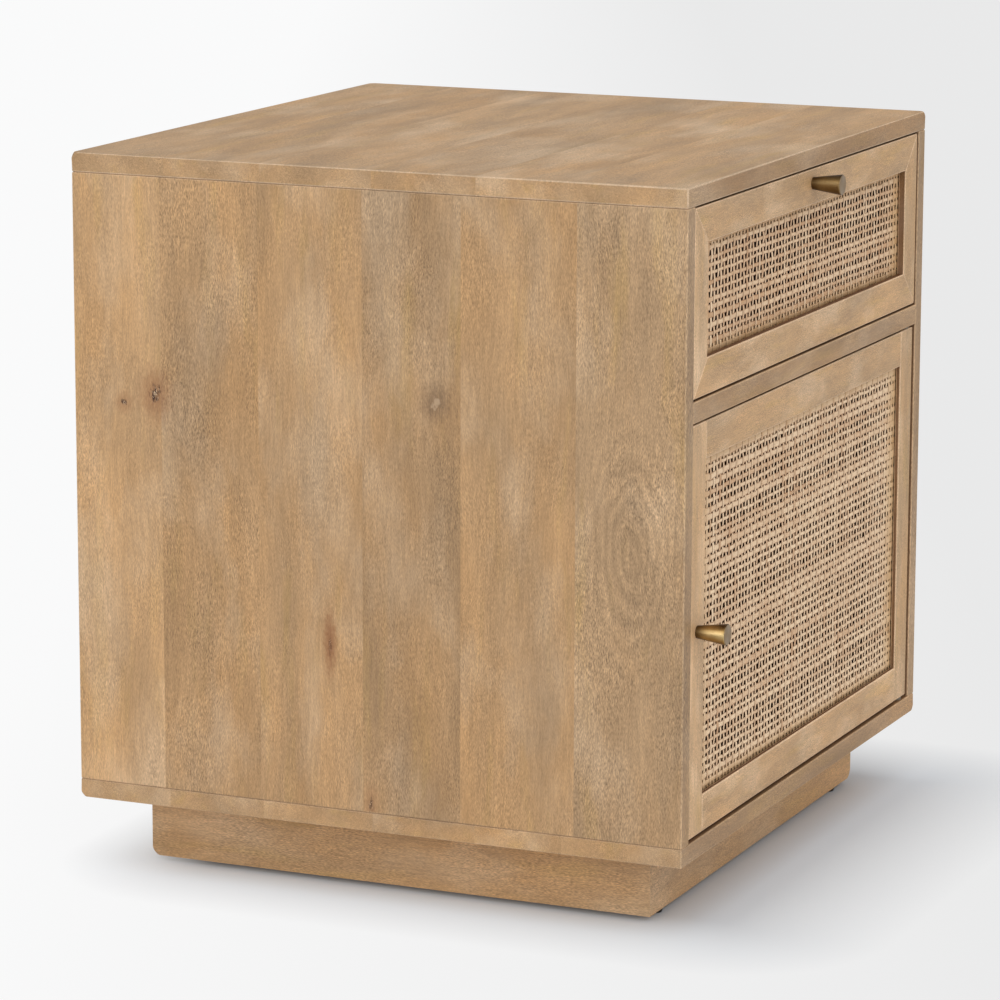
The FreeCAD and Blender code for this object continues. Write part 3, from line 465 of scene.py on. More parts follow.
def sanded_wood(name, grain, planes=()):
    """Plain wood, sanded, as plywood or dowels: pale and matt, with wide soft figure and fine pores."""
    material, tree, shader, place = new_material(name, **{"IOR": 1.5, "Specular IOR Level": 0.35})
    figure = grain_noise(tree, place, 300 * MM, 30 * MM, grain, 6)
    pores = grain_noise(tree, place, 8 * MM, 0.7 * MM, grain)
    tones = [(0.3, linear("#a5825a")), (0.5, linear("#b8966c")), (0.7, linear("#c6a77f"))]
    ramp = node(tree, "ValToRGB", {0: figure.outputs[0]}, stops=tones)
    apart = node(tree, "SeparateXYZ", {0: place})
    tone = node(tree, "MapRange", {"Value": pores.outputs[0], "To Min": 0.75, "To Max": 1.25}).outputs[0]
    colour = node(tree, "VectorMath", {0: ramp.outputs[0], "Scale": tone}, operation="SCALE").outputs[0]
    tree.links.new(darkened(tree, apart, planes, colour), shader.inputs["Base Color"])
    rough = node(tree, "MapRange", {"Value": figure.outputs[0], "To Min": 0.6, "To Max": 0.75})
    tree.links.new(rough.outputs[0], shader.inputs["Roughness"])
    return material


def dark_backing_board(name):
    """Hardwood board, nearly black, with faint grain; behind the drawer's cane it makes the slits dark."""
    wood = looks("wood")
    material, tree, shader, place = new_material(name, **{"IOR": 1.5, "Specular IOR Level": 0.05})
    grain = grain_noise(tree, place, 200 * MM, 6 * MM, "X", 3)
    tone = node(tree, "MapRange", {"Value": grain.outputs[0], "To Min": 0.5, "To Max": 1.4})
    colour = node(tree, "VectorMath", {0: wood.stain[:3], "Scale": tone.outputs[0]}, operation="SCALE")
    tree.links.new(colour.outputs[0], shader.inputs["Base Color"])
    rough = node(tree, "MapRange", {"Value": grain.outputs[0], "To Min": 0.55, "To Max": 0.7})
    tree.links.new(rough.outputs[0], shader.inputs["Roughness"])
    return material


def woven_cane(name, grain):
    """Peeled rattan strip, split and woven: pale skin with fine fibres, stained here and there."""
    cane = looks("cane")
    material, tree, shader, place = new_material(name, **{"IOR": 1.5, "Specular IOR Level": 0.1})
    strip, margin, painted_shade_rim, edge = (
        node(tree, "Attribute", attribute_name=key).outputs["Fac"]
        for key in ("strip", "margin", "painted_shade_rim", "edge")
    )
    stain = grain_noise(tree, place, 30 * MM, 12 * MM, grain).outputs[0]
    # Fibres are drawn coarser than life, so that they show
    fibres = grain_noise(tree, place, 20 * MM, 0.6 * MM, grain).outputs[0]
    smudge = {"Value": stain, "From Min": 0.45, "From Max": 0.75, "To Min": 0, "To Max": 0.5}
    smudge = node(tree, "MapRange", smudge).outputs[0]
    stained = {0: strip, 1: 0.75, 2: smudge}
    amount = node(tree, "Math", stained, operation="MULTIPLY_ADD", use_clamp=True).outputs[0]
    colour = node(tree, "Mix", {0: amount, 6: cane.pale, 7: cane.stained}, data_type="RGBA").outputs[2]
    # Glue soaks in along the frame, ochre all round, and painted shade darkens the foot and the right; the
    # strips' edges are brown and their walls carry painted shade. Each row has where it sets in, where it is
    # full, and its most
    for value, low, high, most, hue in (
        (margin, 0, 1, 0.55, cane.ochre),
        (edge, 0.27, 0.5, 0.75, cane.browned),
        (edge, 0.5, 0.75, 1.0, cane.painted_as_shade),
        (painted_shade_rim, 0, 1, 0.65, cane.painted_as_shade),
    ):
        amount = {"Value": value, "From Min": low, "From Max": high, "To Max": most}
        amount = node(tree, "MapRange", amount).outputs[0]
        colour = node(tree, "Mix", {0: amount, 6: colour, 7: hue}, data_type="RGBA").outputs[2]
    fibre = node(tree, "MapRange", {"Value": fibres, "To Min": 0.86, "To Max": 1.12})
    toned = node(tree, "VectorMath", {0: colour, "Scale": fibre.outputs[0]}, operation="SCALE")
    tree.links.new(toned.outputs[0], shader.inputs["Base Color"])
    rough = node(tree, "MapRange", {"Value": fibres, "To Min": 0.38, "To Max": 0.6})
    tree.links.new(rough.outputs[0], shader.inputs["Roughness"])
    bump = node(tree, "Bump", {"Height": fibres, "Strength": 0.3, "Distance": 0.1 * MM})
    tree.links.new(bump.outputs[0], shader.inputs["Normal"])
    return material


def antique_brass(name, knob, patina):
    """Turned brass, brushed and aged: brown patina as asked, a painted highlight as a pale gold band across
    its middle height, painted shade brown above and below it, and more painted shade where it meets the frame.
    """
    brushed = {"Metallic": 1.0, "Anisotropic": 0.75, "Anisotropic Rotation": 0.25}
    material, tree, shader, place = new_material(name, **brushed)
    round_it = node(tree, "Tangent", direction_type="RADIAL", axis="Y")
    tree.links.new(round_it.outputs[0], shader.inputs["Tangent"])
    low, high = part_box(knob)
    brown, dull = linear("#4f3b25"), linear("#957f63")
    # About two turning lines to the millimetre, coarser than life so that they show
    lines = (0.06 / MM, 2.2 / MM, 0.06 / MM)
    ring = node(tree, "VectorMath", {0: place, 1: lines}, operation="MULTIPLY").outputs[0]
    turned = node(tree, "TexNoise", {"Vector": ring, "Scale": 1, "Detail": 2}).outputs[0]
    patch = node(tree, "TexNoise", {"Vector": place, "Scale": 1 / (9 * MM), "Detail": 3}).outputs[0]
    apart = node(tree, "SeparateXYZ", {0: place})
    painted_light_band = {"Value": apart.outputs["Z"], "From Min": low.z, "From Max": high.z}
    painted_light_band = node(tree, "MapRange", painted_light_band).outputs[0]
    for layer, share in ((turned, 0.15), (patch, 0.2)):
        off = node(tree, "Math", {0: layer, 1: 0.5}, operation="SUBTRACT").outputs[0]
        painted_light_band = node(tree, "Math", {0: off, 1: share, 2: painted_light_band}, operation="MULTIPLY_ADD").outputs[0]
    # Painted highlight and shade: pale gold across the middle height, browner towards the top and the bottom
    tones = [
        (0.05, linear("#6f5735")),
        (0.3, linear("#b3935c")),
        (0.55, linear("#dcc28c")),
        (0.75, linear("#b08f5a")),
        (0.95, linear("#553f25")),
    ]
    colour = node(tree, "ValToRGB", {0: painted_light_band}, stops=tones).outputs[0]
    # Brown patina over the whole knob as asked, deepening into painted shade over the last 11 mm towards the
    # frame
    browned = 11 * MM
    patina_and_root_shade = {
        "Value": apart.outputs["Y"],
        "From Min": high.y - browned,
        "From Max": high.y,
        "To Min": patina,
        "To Max": 0.9,
    }
    patina_and_root_shade = node(tree, "MapRange", patina_and_root_shade, interpolation_type="SMOOTHSTEP").outputs[0]
    colour = node(tree, "Mix", {0: patina_and_root_shade, 6: colour, 7: brown}, data_type="RGBA").outputs[2]
    # The flat end is duller and greyer than the cone
    end = low.y + 0.4 * MM
    flat = node(tree, "Math", {0: apart.outputs["Y"], 1: end}, operation="LESS_THAN").outputs[0]
    colour = node(tree, "Mix", {0: flat, 6: colour, 7: dull}, data_type="RGBA").outputs[2]
    tree.links.new(colour, shader.inputs["Base Color"])
    rough = node(tree, "MapRange", {"Value": patch, "To Min": 0.34, "To Max": 0.44}).outputs[0]
    tree.links.new(rough, shader.inputs["Roughness"])
    return material


def zinc_steel(name):
    """Rolled steel with bright zinc plating: grey, with faint cloudy spangle."""
    material, tree, shader, place = new_material(name, **{"Metallic": 1.0})
    spangle = node(tree, "TexVoronoi", {"Vector": place, "Scale": 1 / (6 * MM)}).outputs["Distance"]
    tones = [(0.1, linear("#a9abae")), (0.8, linear("#c3c5c7"))]
    ramp = node(tree, "ValToRGB", {0: spangle}, stops=tones)
    tree.links.new(ramp.outputs[0], shader.inputs["Base Color"])
    rough = node(tree, "MapRange", {"Value": spangle, "To Min": 0.28, "To Max": 0.42})
    tree.links.new(rough.outputs[0], shader.inputs["Roughness"])
    return material


def moulded(name, dark, pale, roughness):
    """Plastic or ferrite from a mould: even colour with a fine grit, drawn coarser than life to show."""
    material, tree, shader, place = new_material(name, **{"IOR": 1.46, "Roughness": roughness})
    grit = node(tree, "TexNoise", {"Vector": place, "Scale": 1 / (0.8 * MM), "Detail": 2})
    tones = [(0.3, linear(dark)), (0.7, linear(pale))]
    ramp = node(tree, "ValToRGB", {0: grit.outputs[0]}, stops=tones)
    tree.links.new(ramp.outputs[0], shader.inputs["Base Color"])
    bump = node(tree, "Bump", {"Height": grit.outputs[0], "Strength": 0.2, "Distance": 0.05 * MM})
    tree.links.new(bump.outputs[0], shader.inputs["Normal"])
    return material


# Woven cane


# A strip's section: how deep its skin's edges lie and how wide its back is, as shares of half its size
SKIN_EDGE = 0.2
BACK_WIDTH = 0.84
# How brown each side of that section is at its two ends, where above a half brown gives way to painted shade,
# as on the walls: the skin's halves, a wall, the back and a wall
STRIP_BROWN_AND_SHADE = ((0.5, 0.0), (0.0, 0.5), (0.5, 1.0), (0.3, 0.3), (1.0, 0.5))
# Points on a strip from one crossing to the next, and the least distance between two
CROSSING_STEPS = 3
LEAST_STEP = 0.2 * MM
# How far from the frame's sides and ends the weave closes up, is soaked with glue and is darkened with painted
# shade
CLOSE_REACH = (30 * MM, 9 * MM)
SOAK_REACH = (25 * MM, 9 * MM)
PAINTED_SHADE_REACH = (1.4 * MM, 3 * MM)
# How much wider the cross strips are where the weave closes up, as a share of their pitch, and how much of
# that holds at the ends
CLOSE_SHARE = 0.17
CLOSE_ENDS = 0.5
# How much less brown the strips' edges are along the frame
EDGE_PALER = 0.4
# Angle from which a strip's corners stay sharp, in degrees
STRIP_SHARP = 55
# Scatter of the strips' places, as shares of their wander, and of their widths and tones
BASE_SCATTER = 0.6
STRAY_SCATTER = 0.35
UPRIGHT_SCATTER = 0.18
TONE_SCATTER = 0.28


@dataclass
class Course:
    """Strips side by side: their count, the first one's place, their pitch and the ends of the panel."""

    count: int
    start: float
    pitch: float
    low: float
    high: float


class Strips:
    """Mesh of a weave as it grows, with tones per vertex, brown and painted shade per face corner and
    materials per face.
    """

    def __init__(self):
        self.verts = []
        self.faces = []
        self.tones = []
        self.browns_and_shade = []
        self.materials = []

    def add(self, path, widths, sideways, thickness, tone, material):
        """Adds one closed strip along a path, with a width at each point, across the sideways axis."""
        first = len(self.verts)
        for point, width in zip(path, widths):
            for side, deep in strip_section(width, thickness):
                corner = list(point)
                corner[sideways] += side
                corner[1] += deep
                self.verts.append(corner)
                self.tones.append(tone)
        count = len(STRIP_BROWN_AND_SHADE)
        for step in range(len(path) - 1):
            near, far = first + step * count, first + (step + 1) * count
            for i, (start, end) in enumerate(STRIP_BROWN_AND_SHADE):
                j = (i + 1) % count
                self.faces.append((near + i, near + j, far + j, far + i))
                self.browns_and_shade.extend((start, end, end, start))
                self.materials.append(material)
        last = first + (len(path) - 1) * count
        self.faces.append(tuple(first + i for i in reversed(range(count))))
        self.faces.append(tuple(last + i for i in range(count)))
        self.browns_and_shade.extend([1.0] * 2 * count)
        self.materials.extend((material, material))


def strip_section(width, thickness):
    """Corners of a strip's section: a crowned skin towards the front and a flat back."""
    half, deep = width / 2, thickness / 2
    edge, back = -SKIN_EDGE * deep, BACK_WIDTH * half
    return ((-half, edge), (0, -deep), (half, edge), (back, deep), (-back, deep))


def strip_path(upright, base, stray, bow, middle, run):
    """Points of a strip that bows over and under the strips of a run, and strays a little from its base."""
    path = []
    for step in range(-CROSSING_STEPS, (run.count + 1) * CROSSING_STEPS):
        turn = step / CROSSING_STEPS
        at = min(max(run.start + turn * run.pitch, run.low), run.high)
        aside = base + np.interp(turn + 1, range(run.count + 2), stray)
        depth = middle + bow * math.cos(math.pi * turn)
        point = (aside, depth, at) if upright else (at, depth, aside)
        if not path or (Vector(point) - Vector(path[-1])).length > LEAST_STEP:
            path.append(point)
    return path


def closeness(values, edges, reach):
    """1 at either edge, falling to 0 at the given reach from it."""
    return np.clip(1 - np.min([np.abs(values - edge) for edge in edges], 0) / reach, 0, 1)


def course(low, high, width, pitch):
    """Strips of a width and a pitch, set evenly between two ends."""
    count = 1 + int((high - low - width) / pitch)
    return Course(count, (low + high - (count - 1) * pitch) / 2, pitch, low, high)


def weave(name, node_name, cross_width, cross_scatter, mean_tone, scatter):
    """Plain-woven cane panel in the space of its CAD node, as a mesh of crossing strips."""
    cane = looks("cane")
    body = BODY_OF[node_name]
    low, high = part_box(node_name)
    middle = (low.y + high.y) / 2
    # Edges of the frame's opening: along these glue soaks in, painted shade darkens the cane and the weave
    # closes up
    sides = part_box(f"{body}_left_stile")[1].x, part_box(f"{body}_right_stile")[0].x
    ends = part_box(f"{body}_bottom_rail")[1].z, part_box(f"{body}_top_rail")[0].z
    columns = course(low.x, high.x, cane.upright_width, cane.upright_pitch)
    rows = course(low.z, high.z, cross_width, cane.cross_pitch)
    strips = Strips()
    for upright, own, run in ((True, columns, rows), (False, rows, columns)):
        mean_width = cane.upright_width if upright else cross_width
        uneven = UPRIGHT_SCATTER if upright else cross_scatter
        for number in range(own.count):
            base = own.start + number * own.pitch + scatter.uniform(-1, 1) * cane.wander * BASE_SCATTER
            width = mean_width * scatter.uniform(1 - uneven, 1 + uneven)
            # Neighbours bow to opposite sides, and so do the strips that cross
            bow = cane.rise if (number % 2 == 1) == upright else -cane.rise
            stray = scatter.normal(0, cane.wander * STRAY_SCATTER, run.count + 2)
            path = strip_path(upright, base, stray, bow, middle, run)
            tone = float(np.clip(scatter.normal(mean_tone, TONE_SCATTER), 0, 1))
            widths = np.full(len(path), width)
            if not upright:
                x, _, z = np.array(path).T
                closed = closeness(x, sides, CLOSE_REACH[0])
                closed = closed + CLOSE_ENDS * closeness(z, ends, CLOSE_REACH[1])
                widths = widths + CLOSE_SHARE * closed * cane.cross_pitch
            sideways, material = (0, 0) if upright else (2, 1)
            strips.add(path, widths, sideways, cane.thickness, tone, material)
    mesh = bpy.data.meshes.new(name)
    mesh.from_pydata(strips.verts, [], strips.faces)
    x, _, z = np.array(strips.verts).T
    margin = np.maximum(closeness(x, sides, SOAK_REACH[0]), closeness(z, ends, SOAK_REACH[1]))
    painted_shade_rim = np.maximum(closeness(x, sides[1:], PAINTED_SHADE_REACH[0]), closeness(z, ends[:1], PAINTED_SHADE_REACH[1]))
    browns_and_shade = np.array(strips.browns_and_shade) * (1 - EDGE_PALER * margin[np.concatenate(strips.faces)])
    for attribute, domain, values in (
        ("strip", "POINT", strips.tones),
        ("margin", "POINT", margin),
        ("painted_shade_rim", "POINT", painted_shade_rim),
        ("edge", "CORNER", browns_and_shade),
    ):
        mesh.attributes.new(attribute, "FLOAT", domain).data.foreach_set("value", values)
    mesh.polygons.foreach_set("material_index", strips.materials)
    mesh.polygons.foreach_set("use_smooth", [True] * len(strips.faces))
    mesh.set_sharp_from_angle(angle=math.radians(STRIP_SHARP))
    piece = bpy.data.objects.new(name, mesh)
    bpy.context.scene.collection.objects.link(piece)
    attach(piece, body)
    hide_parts(node_name)
    return piece


# Operators


class CABINET_OT_carcass(bpy.types.Operator):
    """Finish the panels of the carcass in glued-up mango wood"""

    bl_idname = "cabinet.carcass"
    bl_label = "Carcass panels"

    def execute(self, context):
        # The panels' front edges are a little darker than their faces; inside, painted shade darkens the faces
        inside = 0.65
        front = Plane("Y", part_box("top_panel")[0].y, 0.17)
        # From the front to the back
        side = [
            Board(85, 1.04, 0.0, 0.95),
            Board(92, 0.97, 0.6, 0.45),
            Board(80, 0.9, 0.45, 0.7),
            Board(85, 0.98, 0.6, 0.45),
            Board(82, 0.93, 0.6, 0.85),
            Board(76, 1.12, 0.55, 0.5),
        ]
        marks = [
            Knot(192.6, 379.6, 5.5, 8, 0.95, 0.6),
            Knot(219.3, 371.5, 3.2, 3.2, 0.9, 0.4),
            Knot(46.6, 200.3, 2.2, 10, 0.55, 0.85),
            Knot(-40.9, 390.2, 4.8, 5.6, 0.6, 0.46, True),
            Knot(12.9, 79.7, 2.4, 6, 0.7, 0.4),
            Figure(168, 378, 26, 80, 7, 0.06),
            Figure(-196, 290, 50, 125, 7, 0.1),
            Figure(-60, 390, 45, 120, 6, 0.03),
        ]
        for name, seed, own in (("left_side_panel", 0.11, marks), ("right_side_panel", 0.53, ())):
            low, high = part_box(name)
            inner = high.x if name == "left_side_panel" else low.x
            planes = [front, Plane("X", inner, inside)]
            # Painted shade in the grooves where the side meets the bottom and the top
            painted_arris_shade = [Plane("Z", low.z, 0.08, 1), Plane("Z", high.z, 0.05, 1)]
            wooden([name], name, "Z", side, seed=seed, marks=own, planes=planes, painted_arris_shade=painted_arris_shade)
        level = [
            Board(95, 1.02, 0.5, 0.55),
            Board(70, 1.06, 0.55, 0.55),
            Board(85, 0.97, 0.45, 0.55),
            Board(90, 1.05, 0.4, 0.55),
            Board(80, 0.98, 0.5, 0.55),
            Board(80, 1.03, 0.4, 0.55),
        ]
        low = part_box("top_panel")[0]
        planes = [Plane("Y", low.y, 0.19), Plane("Z", low.z, inside)]
        # Painted shade in the groove under the top
        painted_arris_shade = [Plane("Z", low.z, 0.1, 2)]
        # The top's arrises are lightened most, partly as wear and partly as a painted highlight
        wooden(["top_panel"], "top", "X", level, seed=0.31, planes=planes, painted_arris_shade=painted_arris_shade, share=1.3, pale=0.95)
        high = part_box("bottom_panel")[1]
        planes = [front, Plane("Z", high.z, inside)]
        # Painted shade in the groove along the bottom's upper edge
        painted_arris_shade = [Plane("Z", high.z, 0.15, 1)]
        wooden(["bottom_panel"], "bottom", "X", level, seed=0.77, planes=planes, painted_arris_shade=painted_arris_shade)
        low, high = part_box("divider_panel")
        planes = [front, Plane("Z", low.z, inside), Plane("Z", high.z, inside)]
        wooden(["divider_panel"], "divider", "X", [Board(240), Board(251)], seed=0.9, planes=planes)
        # Painted shade on the back's inner face
        planes = [Plane("Y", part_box("back_panel")[0].y, inside)]
        dress(["back_panel"], sanded_wood("plywood rotary cut and sanded back", "Z", planes))
        dress(["carcass_dowels"], sanded_wood("beech dowel fluted and glued", "Z"))
        return {"FINISHED"}


class CABINET_OT_plinth(bpy.types.Operator):
    """Finish the plinth's boards and glue blocks"""

    bl_idname = "cabinet.plinth"
    bl_label = "Plinth"

    def execute(self, context):
        one = [Board(1, 1.08, 0.6, 0.6)]
        wooden(["plinth_front_board", "plinth_back_board"], "plinth front", "X", one, "Z", 0.21, share=0)
        wooden(["plinth_left_board", "plinth_right_board"], "plinth sides", "Y", one, "Z", 0.67, share=0)
        wooden(["plinth_corner_blocks"], "plinth blocks", "Z", one, "Y", 0.4)
        return {"FINISHED"}


class CABINET_OT_frames(bpy.types.Operator):
    """Finish the drawer's and the door's frames and the beads that hold their cane"""

    bl_idname = "cabinet.frames"
    bl_label = "Frames"

    def execute(self, context):
        # Painted shade darkens the rebate round the cane, less at its right, which faces the light; the outer
        # edges, which the gaps show, take painted shade too
        rebate, right_rebate, outer = 0.88, 0.7, 0.6
        for body in ("drawer", "door"):
            bottom, top, left, right = (
                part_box(f"{body}_{part}") for part in ("bottom_rail", "top_rail", "left_stile", "right_stile")
            )
            level = [
                Plane("Z", bottom[1].z, rebate),
                Plane("Z", top[0].z, rebate),
                Plane("Z", bottom[0].z, outer),
                Plane("Z", top[1].z, outer),
            ]
            upright = [
                Plane("X", left[1].x, rebate),
                Plane("X", right[0].x, right_rebate),
                Plane("X", left[0].x, outer),
                Plane("X", right[1].x, outer),
            ]
            rails = [Board(1, 1.24, 0.3, 0.8), Board(1, 1.2, 0.2, 0.8)]
            stiles = [Board(1, 1.42, 0.05, 0.8), Board(1, 1.2, 0.25, 0.8)]
            nodes = [f"{body}_bottom_rail", f"{body}_top_rail"]
            wooden(nodes, f"{body} rails", "X", rails, "Z", 0.15, planes=level, pale=0.75, fine=1.7)
            nodes = [f"{body}_left_stile", f"{body}_right_stile"]
            wooden(nodes, f"{body} stiles", "Z", stiles, "X", 0.35, planes=upright, pale=0.75, fine=1.7)
        plain = [Board(1, 0.9, 0.5, 0.3)]
        level = ["drawer_cane_cross_beads", "door_cane_cross_beads"]
        wooden(level, "cross beads", "X", plain, "Z", 0.25, share=0.5)
        upright = ["drawer_cane_upright_beads", "door_cane_upright_beads"]
        wooden(upright, "upright beads", "Z", plain, "X", 0.45, share=0.5)
        return {"FINISHED"}


class CABINET_OT_drawer_box(bpy.types.Operator):
    """Finish the drawer's box"""

    bl_idname = "cabinet.drawer_box"
    bl_label = "Drawer box"

    def execute(self, context):
        plain = [Board(1, 1.1, 0.5, 0.2)]
        wooden(["drawer_box_left_side", "drawer_box_right_side"], "drawer sides", "Y", plain, "Z", 0.61)
        wooden(["drawer_box_back"], "drawer back", "X", plain, "Z", 0.81)
        dress(["drawer_box_front"], dark_backing_board("hardwood board nearly black"))
        dress(["drawer_bottom"], sanded_wood("plywood rotary cut and sanded drawer", "X"))
        return {"FINISHED"}


class CABINET_OT_cane(bpy.types.Operator):
    """Weave the cane panels of the drawer and the door"""

    bl_idname = "cabinet.cane"
    bl_label = "Woven cane"

    def execute(self, context):
        cane = looks("cane")
        upright = woven_cane("rattan cane split and woven upright", "Z")
        cross = woven_cane("rattan cane split and woven across", "X")
        scatter = np.random.default_rng(cane.seed)
        for name, width, uneven, mean_tone in (
            ("door_cane", cane.door_cross_width, 0.36, 0.2),
            ("drawer_cane", cane.drawer_cross_width, 0.35, 0.5),
        ):
            piece = weave(f"{name}_weave", name, width, uneven, mean_tone, scatter)
            piece.data.materials.append(upright)
            piece.data.materials.append(cross)
        return {"FINISHED"}


class CABINET_OT_knobs(bpy.types.Operator):
    """Finish the two turned knobs"""

    bl_idname = "cabinet.knobs"
    bl_label = "Knobs"

    def execute(self, context):
        for knob, patina in (("drawer_knob", 0.6), ("door_knob", 0.0)):
            dress([knob], antique_brass(f"brass turned brushed and aged {knob}", knob, patina))
        return {"FINISHED"}


class CABINET_OT_fittings(bpy.types.Operator):
    """Finish the slides, pivots, catch, screws and glides"""

    bl_idname = "cabinet.fittings"
    bl_label = "Fittings"

    def execute(self, context):
        slots = {item["node"]: item["material_slot"] for item in frame["record"]["subparts"]}
        finishes = {
            "steel": zinc_steel("steel rolled and zinc plated"),
            "nylon": moulded("nylon moulded", "#6d6354", "#7c7262", 0.5),
            "dark_plastic": moulded("plastic moulded dark", "#1d1712", "#2b231c", 0.45),
            "ferrite": moulded("ferrite pressed and sintered", "#1e1e1f", "#2a2a2b", 0.6),
        }
        for slot, material in finishes.items():
            dress([name for name in NODES if slots[name] == slot], material)
        return {"FINISHED"}


def pale_floor(name):
    """Seamless paper floor: pale and matt, a little darker to the right, and part of it takes shadows, which a
    painted shadow deepens near the plinth.
    """
    stage = looks("stage")
    material = bpy.data.materials.new(name)
    material.use_nodes = True
    tree = material.node_tree
    tree.nodes.clear()
    place = node(tree, "TexCoord").outputs["Object"]
    apart = node(tree, "SeparateXYZ", {0: place})
    darkens = 450 * MM
    share = node(tree, "MapRange", {"Value": apart.outputs["X"], "From Min": -darkens, "From Max": darkens})
    tones = {0: share.outputs[0], 6: stage.floor_left, 7: stage.floor_right}
    colour = node(tree, "Mix", tones, data_type="RGBA").outputs[2]
    # Painted shadow: near the plinth the paper is dimmed by a cool tone, which deepens the shadow and cancels
    # the wood's warm bounce
    tones = {0: 1.0, 6: colour, 7: stage.floor_shade}
    dimmed = node(tree, "Mix", tones, data_type="RGBA", blend_type="MULTIPLY").outputs[2]
    plain = node(tree, "BsdfDiffuse", {"Color": colour})
    paper = node(tree, "BsdfDiffuse", {"Color": dimmed})
    glow = node(tree, "Emission", {"Color": colour, "Strength": 1.0})
    # Shadows stay close to the plinth: the floor's own glow takes over away from it
    low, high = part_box("plinth_left_board")[0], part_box("plinth_right_board")[1]
    half = (high - low) / 2
    turn = math.radians(stage.azimuth)
    aside = Vector((math.cos(turn), math.sin(turn), 0)) * stage.shade_aside
    centre = (low + high) / 2 + aside
    where = node(tree, "NewGeometry").outputs["Position"]
    away = node(tree, "VectorMath", {0: where, 1: centre}, operation="SUBTRACT").outputs[0]
    away = node(tree, "VectorMath", {0: away}, operation="ABSOLUTE").outputs[0]
    away = node(tree, "VectorMath", {0: away, 1: (half.x, half.y, 1)}, operation="SUBTRACT").outputs[0]
    away = node(tree, "VectorMath", {0: away, 1: (0, 0, 0)}, operation="MAXIMUM").outputs[0]
    away = node(tree, "VectorMath", {0: away}, operation="LENGTH").outputs["Value"]
    shade = {"Value": away, "From Min": 0, "From Max": stage.shade_reach, "To Min": 1, "To Max": 0.04}
    shade = node(tree, "MapRange", shade).outputs[0]
    shown = node(tree, "MixShader", {0: shade, 1: glow.outputs[0], 2: paper.outputs[0]})
    path = node(tree, "LightPath")
    seen = path.outputs["Is Camera Ray"]
    for ray in ("Is Glossy Ray", "Is Transmission Ray"):
        seen = node(tree, "Math", {0: seen, 1: path.outputs[ray]}, operation="MAXIMUM").outputs[0]
    surface = node(tree, "MixShader", {0: seen, 1: plain.outputs[0], 2: shown.outputs[0]})
    node(tree, "OutputMaterial", {"Surface": surface.outputs[0]})
    return material


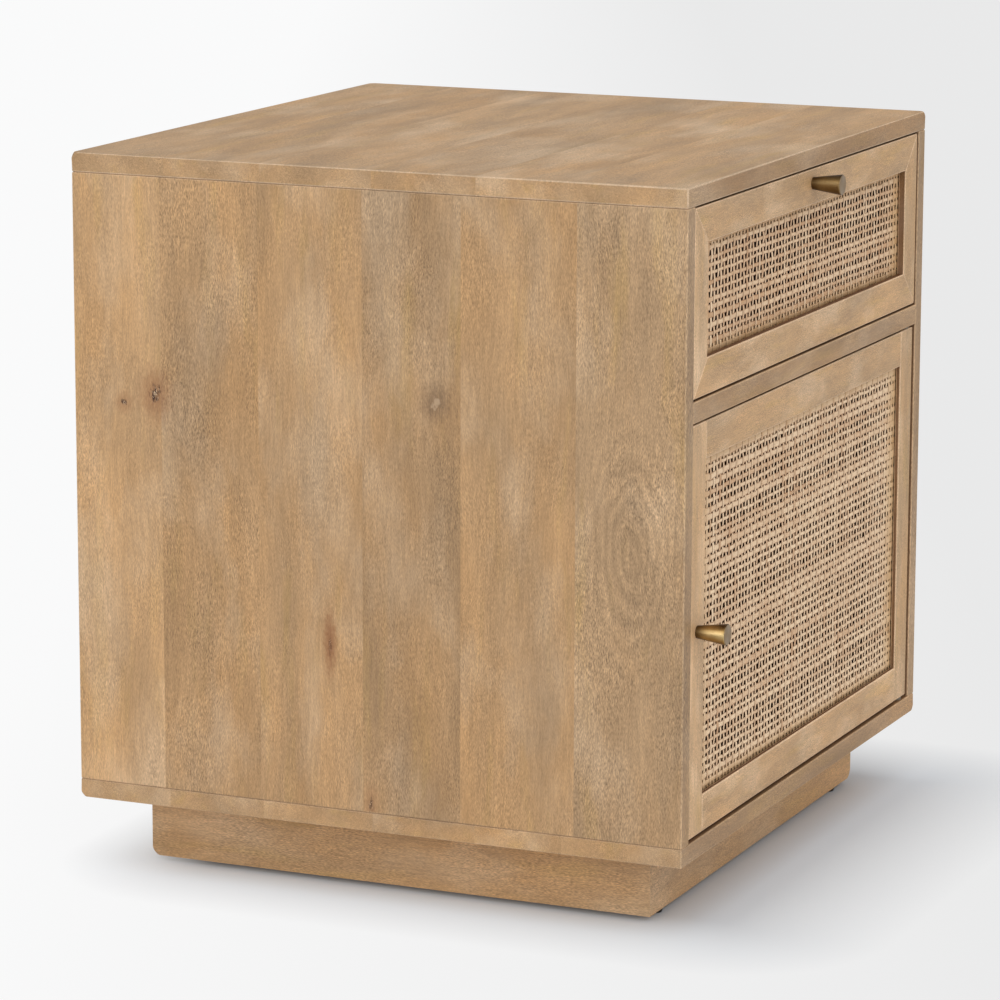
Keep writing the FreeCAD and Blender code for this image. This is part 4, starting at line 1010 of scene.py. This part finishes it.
class CABINET_OT_stage(bpy.types.Operator):
    """Make the floor, the light and the camera"""

    bl_idname = "cabinet.stage"
    bl_label = "Stage"

    def execute(self, context):
        stage = looks("stage")
        scene = context.scene
        scene.view_settings.view_transform = "Standard"
        azimuth, elevation = math.radians(stage.azimuth), math.radians(stage.elevation)
        back = Vector(
            (
                math.sin(azimuth) * math.cos(elevation),
                -math.cos(azimuth) * math.cos(elevation),
                math.sin(elevation),
            )
        )
        right = Vector((math.cos(azimuth), math.sin(azimuth), 0))
        up = back.cross(right)

        radius = 40
        corners = 96
        turns = [2 * math.pi * i / corners for i in range(corners)]
        rim = [(radius * math.cos(a), radius * math.sin(a), 0) for a in turns]
        mesh = bpy.data.meshes.new("floor")
        mesh.from_pydata(rim, [], [tuple(range(corners))])
        floor = bpy.data.objects.new("floor", mesh)
        floor.rotation_euler.z = azimuth
        scene.collection.objects.link(floor)
        mesh.materials.append(pale_floor("paper floor seamless"))

        world = bpy.data.worlds.new("even sky")
        world.use_nodes = True
        tree = world.node_tree
        tree.nodes.clear()
        path = node(tree, "LightPath")
        # Polished metal mirrors a dim room with a broad soft light low at its left
        toward = node(tree, "TexCoord").outputs["Generated"]
        soft_light = Vector((-0.93, -0.03, 0.36)).normalized()
        brightest = 3.5
        room = (0.155,) * 4
        facing = node(tree, "VectorMath", {0: toward, 1: soft_light}, operation="DOT_PRODUCT")
        stops = [(0.2, room), (0.8, room), (0.93, linear("#ffffff"))]
        mirrored = node(tree, "ValToRGB", {0: facing.outputs["Value"]}, stops=stops).outputs[0]
        mirrored = node(tree, "Math", {0: mirrored, 1: brightest}, operation="MULTIPLY").outputs[0]
        backdrop = 0.9
        strength = stage.sky
        for ray, level in (
            ("Is Glossy Ray", mirrored),
            ("Is Camera Ray", backdrop),
            ("Is Transmission Ray", backdrop),
        ):
            strength = node(tree, "Mix", {0: path.outputs[ray], 2: strength, 3: level}).outputs[0]
        sky = node(tree, "Background", {"Color": linear("#ffffff"), "Strength": strength})
        node(tree, "OutputWorld", {"Surface": sky.outputs[0]})
        scene.world = world

        lamp = bpy.data.lights.new("key", "SUN")
        lamp.energy = stage.key
        lamp.angle = math.radians(stage.key_size)
        key = bpy.data.objects.new("key", lamp)
        key_from = Vector((-0.7, -0.5, 1.0))
        key.rotation_euler = key_from.to_track_quat("Z", "Y").to_euler()
        scene.collection.objects.link(key)

        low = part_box("bottom_panel")[0]
        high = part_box("top_panel")[1]
        middle = Vector((0, (low.y + high.y) / 2, (high.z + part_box("plinth_front_board")[0].z) / 2))
        data = bpy.data.cameras.new("camera")
        data.lens = stage.lens
        data.sensor_width = 36
        data.clip_end = 100
        camera = bpy.data.objects.new("camera", data)
        turned = Matrix.Rotation(math.radians(stage.roll), 3, back)
        axes = Matrix((turned @ right, turned @ up, back)).transposed()
        camera.matrix_world = axes.to_4x4()
        shift = turned @ right * stage.aside + turned @ up * stage.below
        camera.location = middle + back * stage.distance - shift
        scene.collection.objects.link(camera)
        scene.camera = camera
        return {"FINISHED"}


class CABINET_PT_sidebar(bpy.types.Panel):
    """Sizes and colours of the cabinet, and the steps that dress it"""

    bl_idname = "CABINET_PT_sidebar"
    bl_label = "Cabinet"
    bl_space_type = "VIEW_3D"
    bl_region_type = "UI"
    bl_category = "Cabinet"

    def draw(self, context):
        for kind in ("wood", "cane", "stage"):
            group = looks(kind)
            column = self.layout.column(align=True)
            for name in group.__annotations__:
                column.prop(group, name)
        for operator in OPERATORS:
            self.layout.operator(operator.bl_idname)


GROUPS = {"wood": WoodLooks, "cane": CaneLooks, "stage": StageLooks}
OPERATORS = (
    CABINET_OT_carcass,
    CABINET_OT_plinth,
    CABINET_OT_frames,
    CABINET_OT_drawer_box,
    CABINET_OT_cane,
    CABINET_OT_knobs,
    CABINET_OT_fittings,
    CABINET_OT_stage,
)


def register():
    for kind, group in GROUPS.items():
        bpy.utils.register_class(group)
        setattr(bpy.types.Scene, f"cabinet_{kind}", PointerProperty(type=group))
    for item in (*OPERATORS, CABINET_PT_sidebar):
        bpy.utils.register_class(item)


def unregister():
    for item in (CABINET_PT_sidebar, *reversed(OPERATORS)):
        bpy.utils.unregister_class(item)
    for kind, group in GROUPS.items():
        delattr(bpy.types.Scene, f"cabinet_{kind}")
        bpy.utils.unregister_class(group)


def main():
    register()
    bpy.ops.cabinet.carcass()
    bpy.ops.cabinet.plinth()
    bpy.ops.cabinet.frames()
    bpy.ops.cabinet.drawer_box()
    bpy.ops.cabinet.cane()
    bpy.ops.cabinet.knobs()
    bpy.ops.cabinet.fittings()
    bpy.ops.cabinet.stage()


if __name__ == "__main__":
    main()
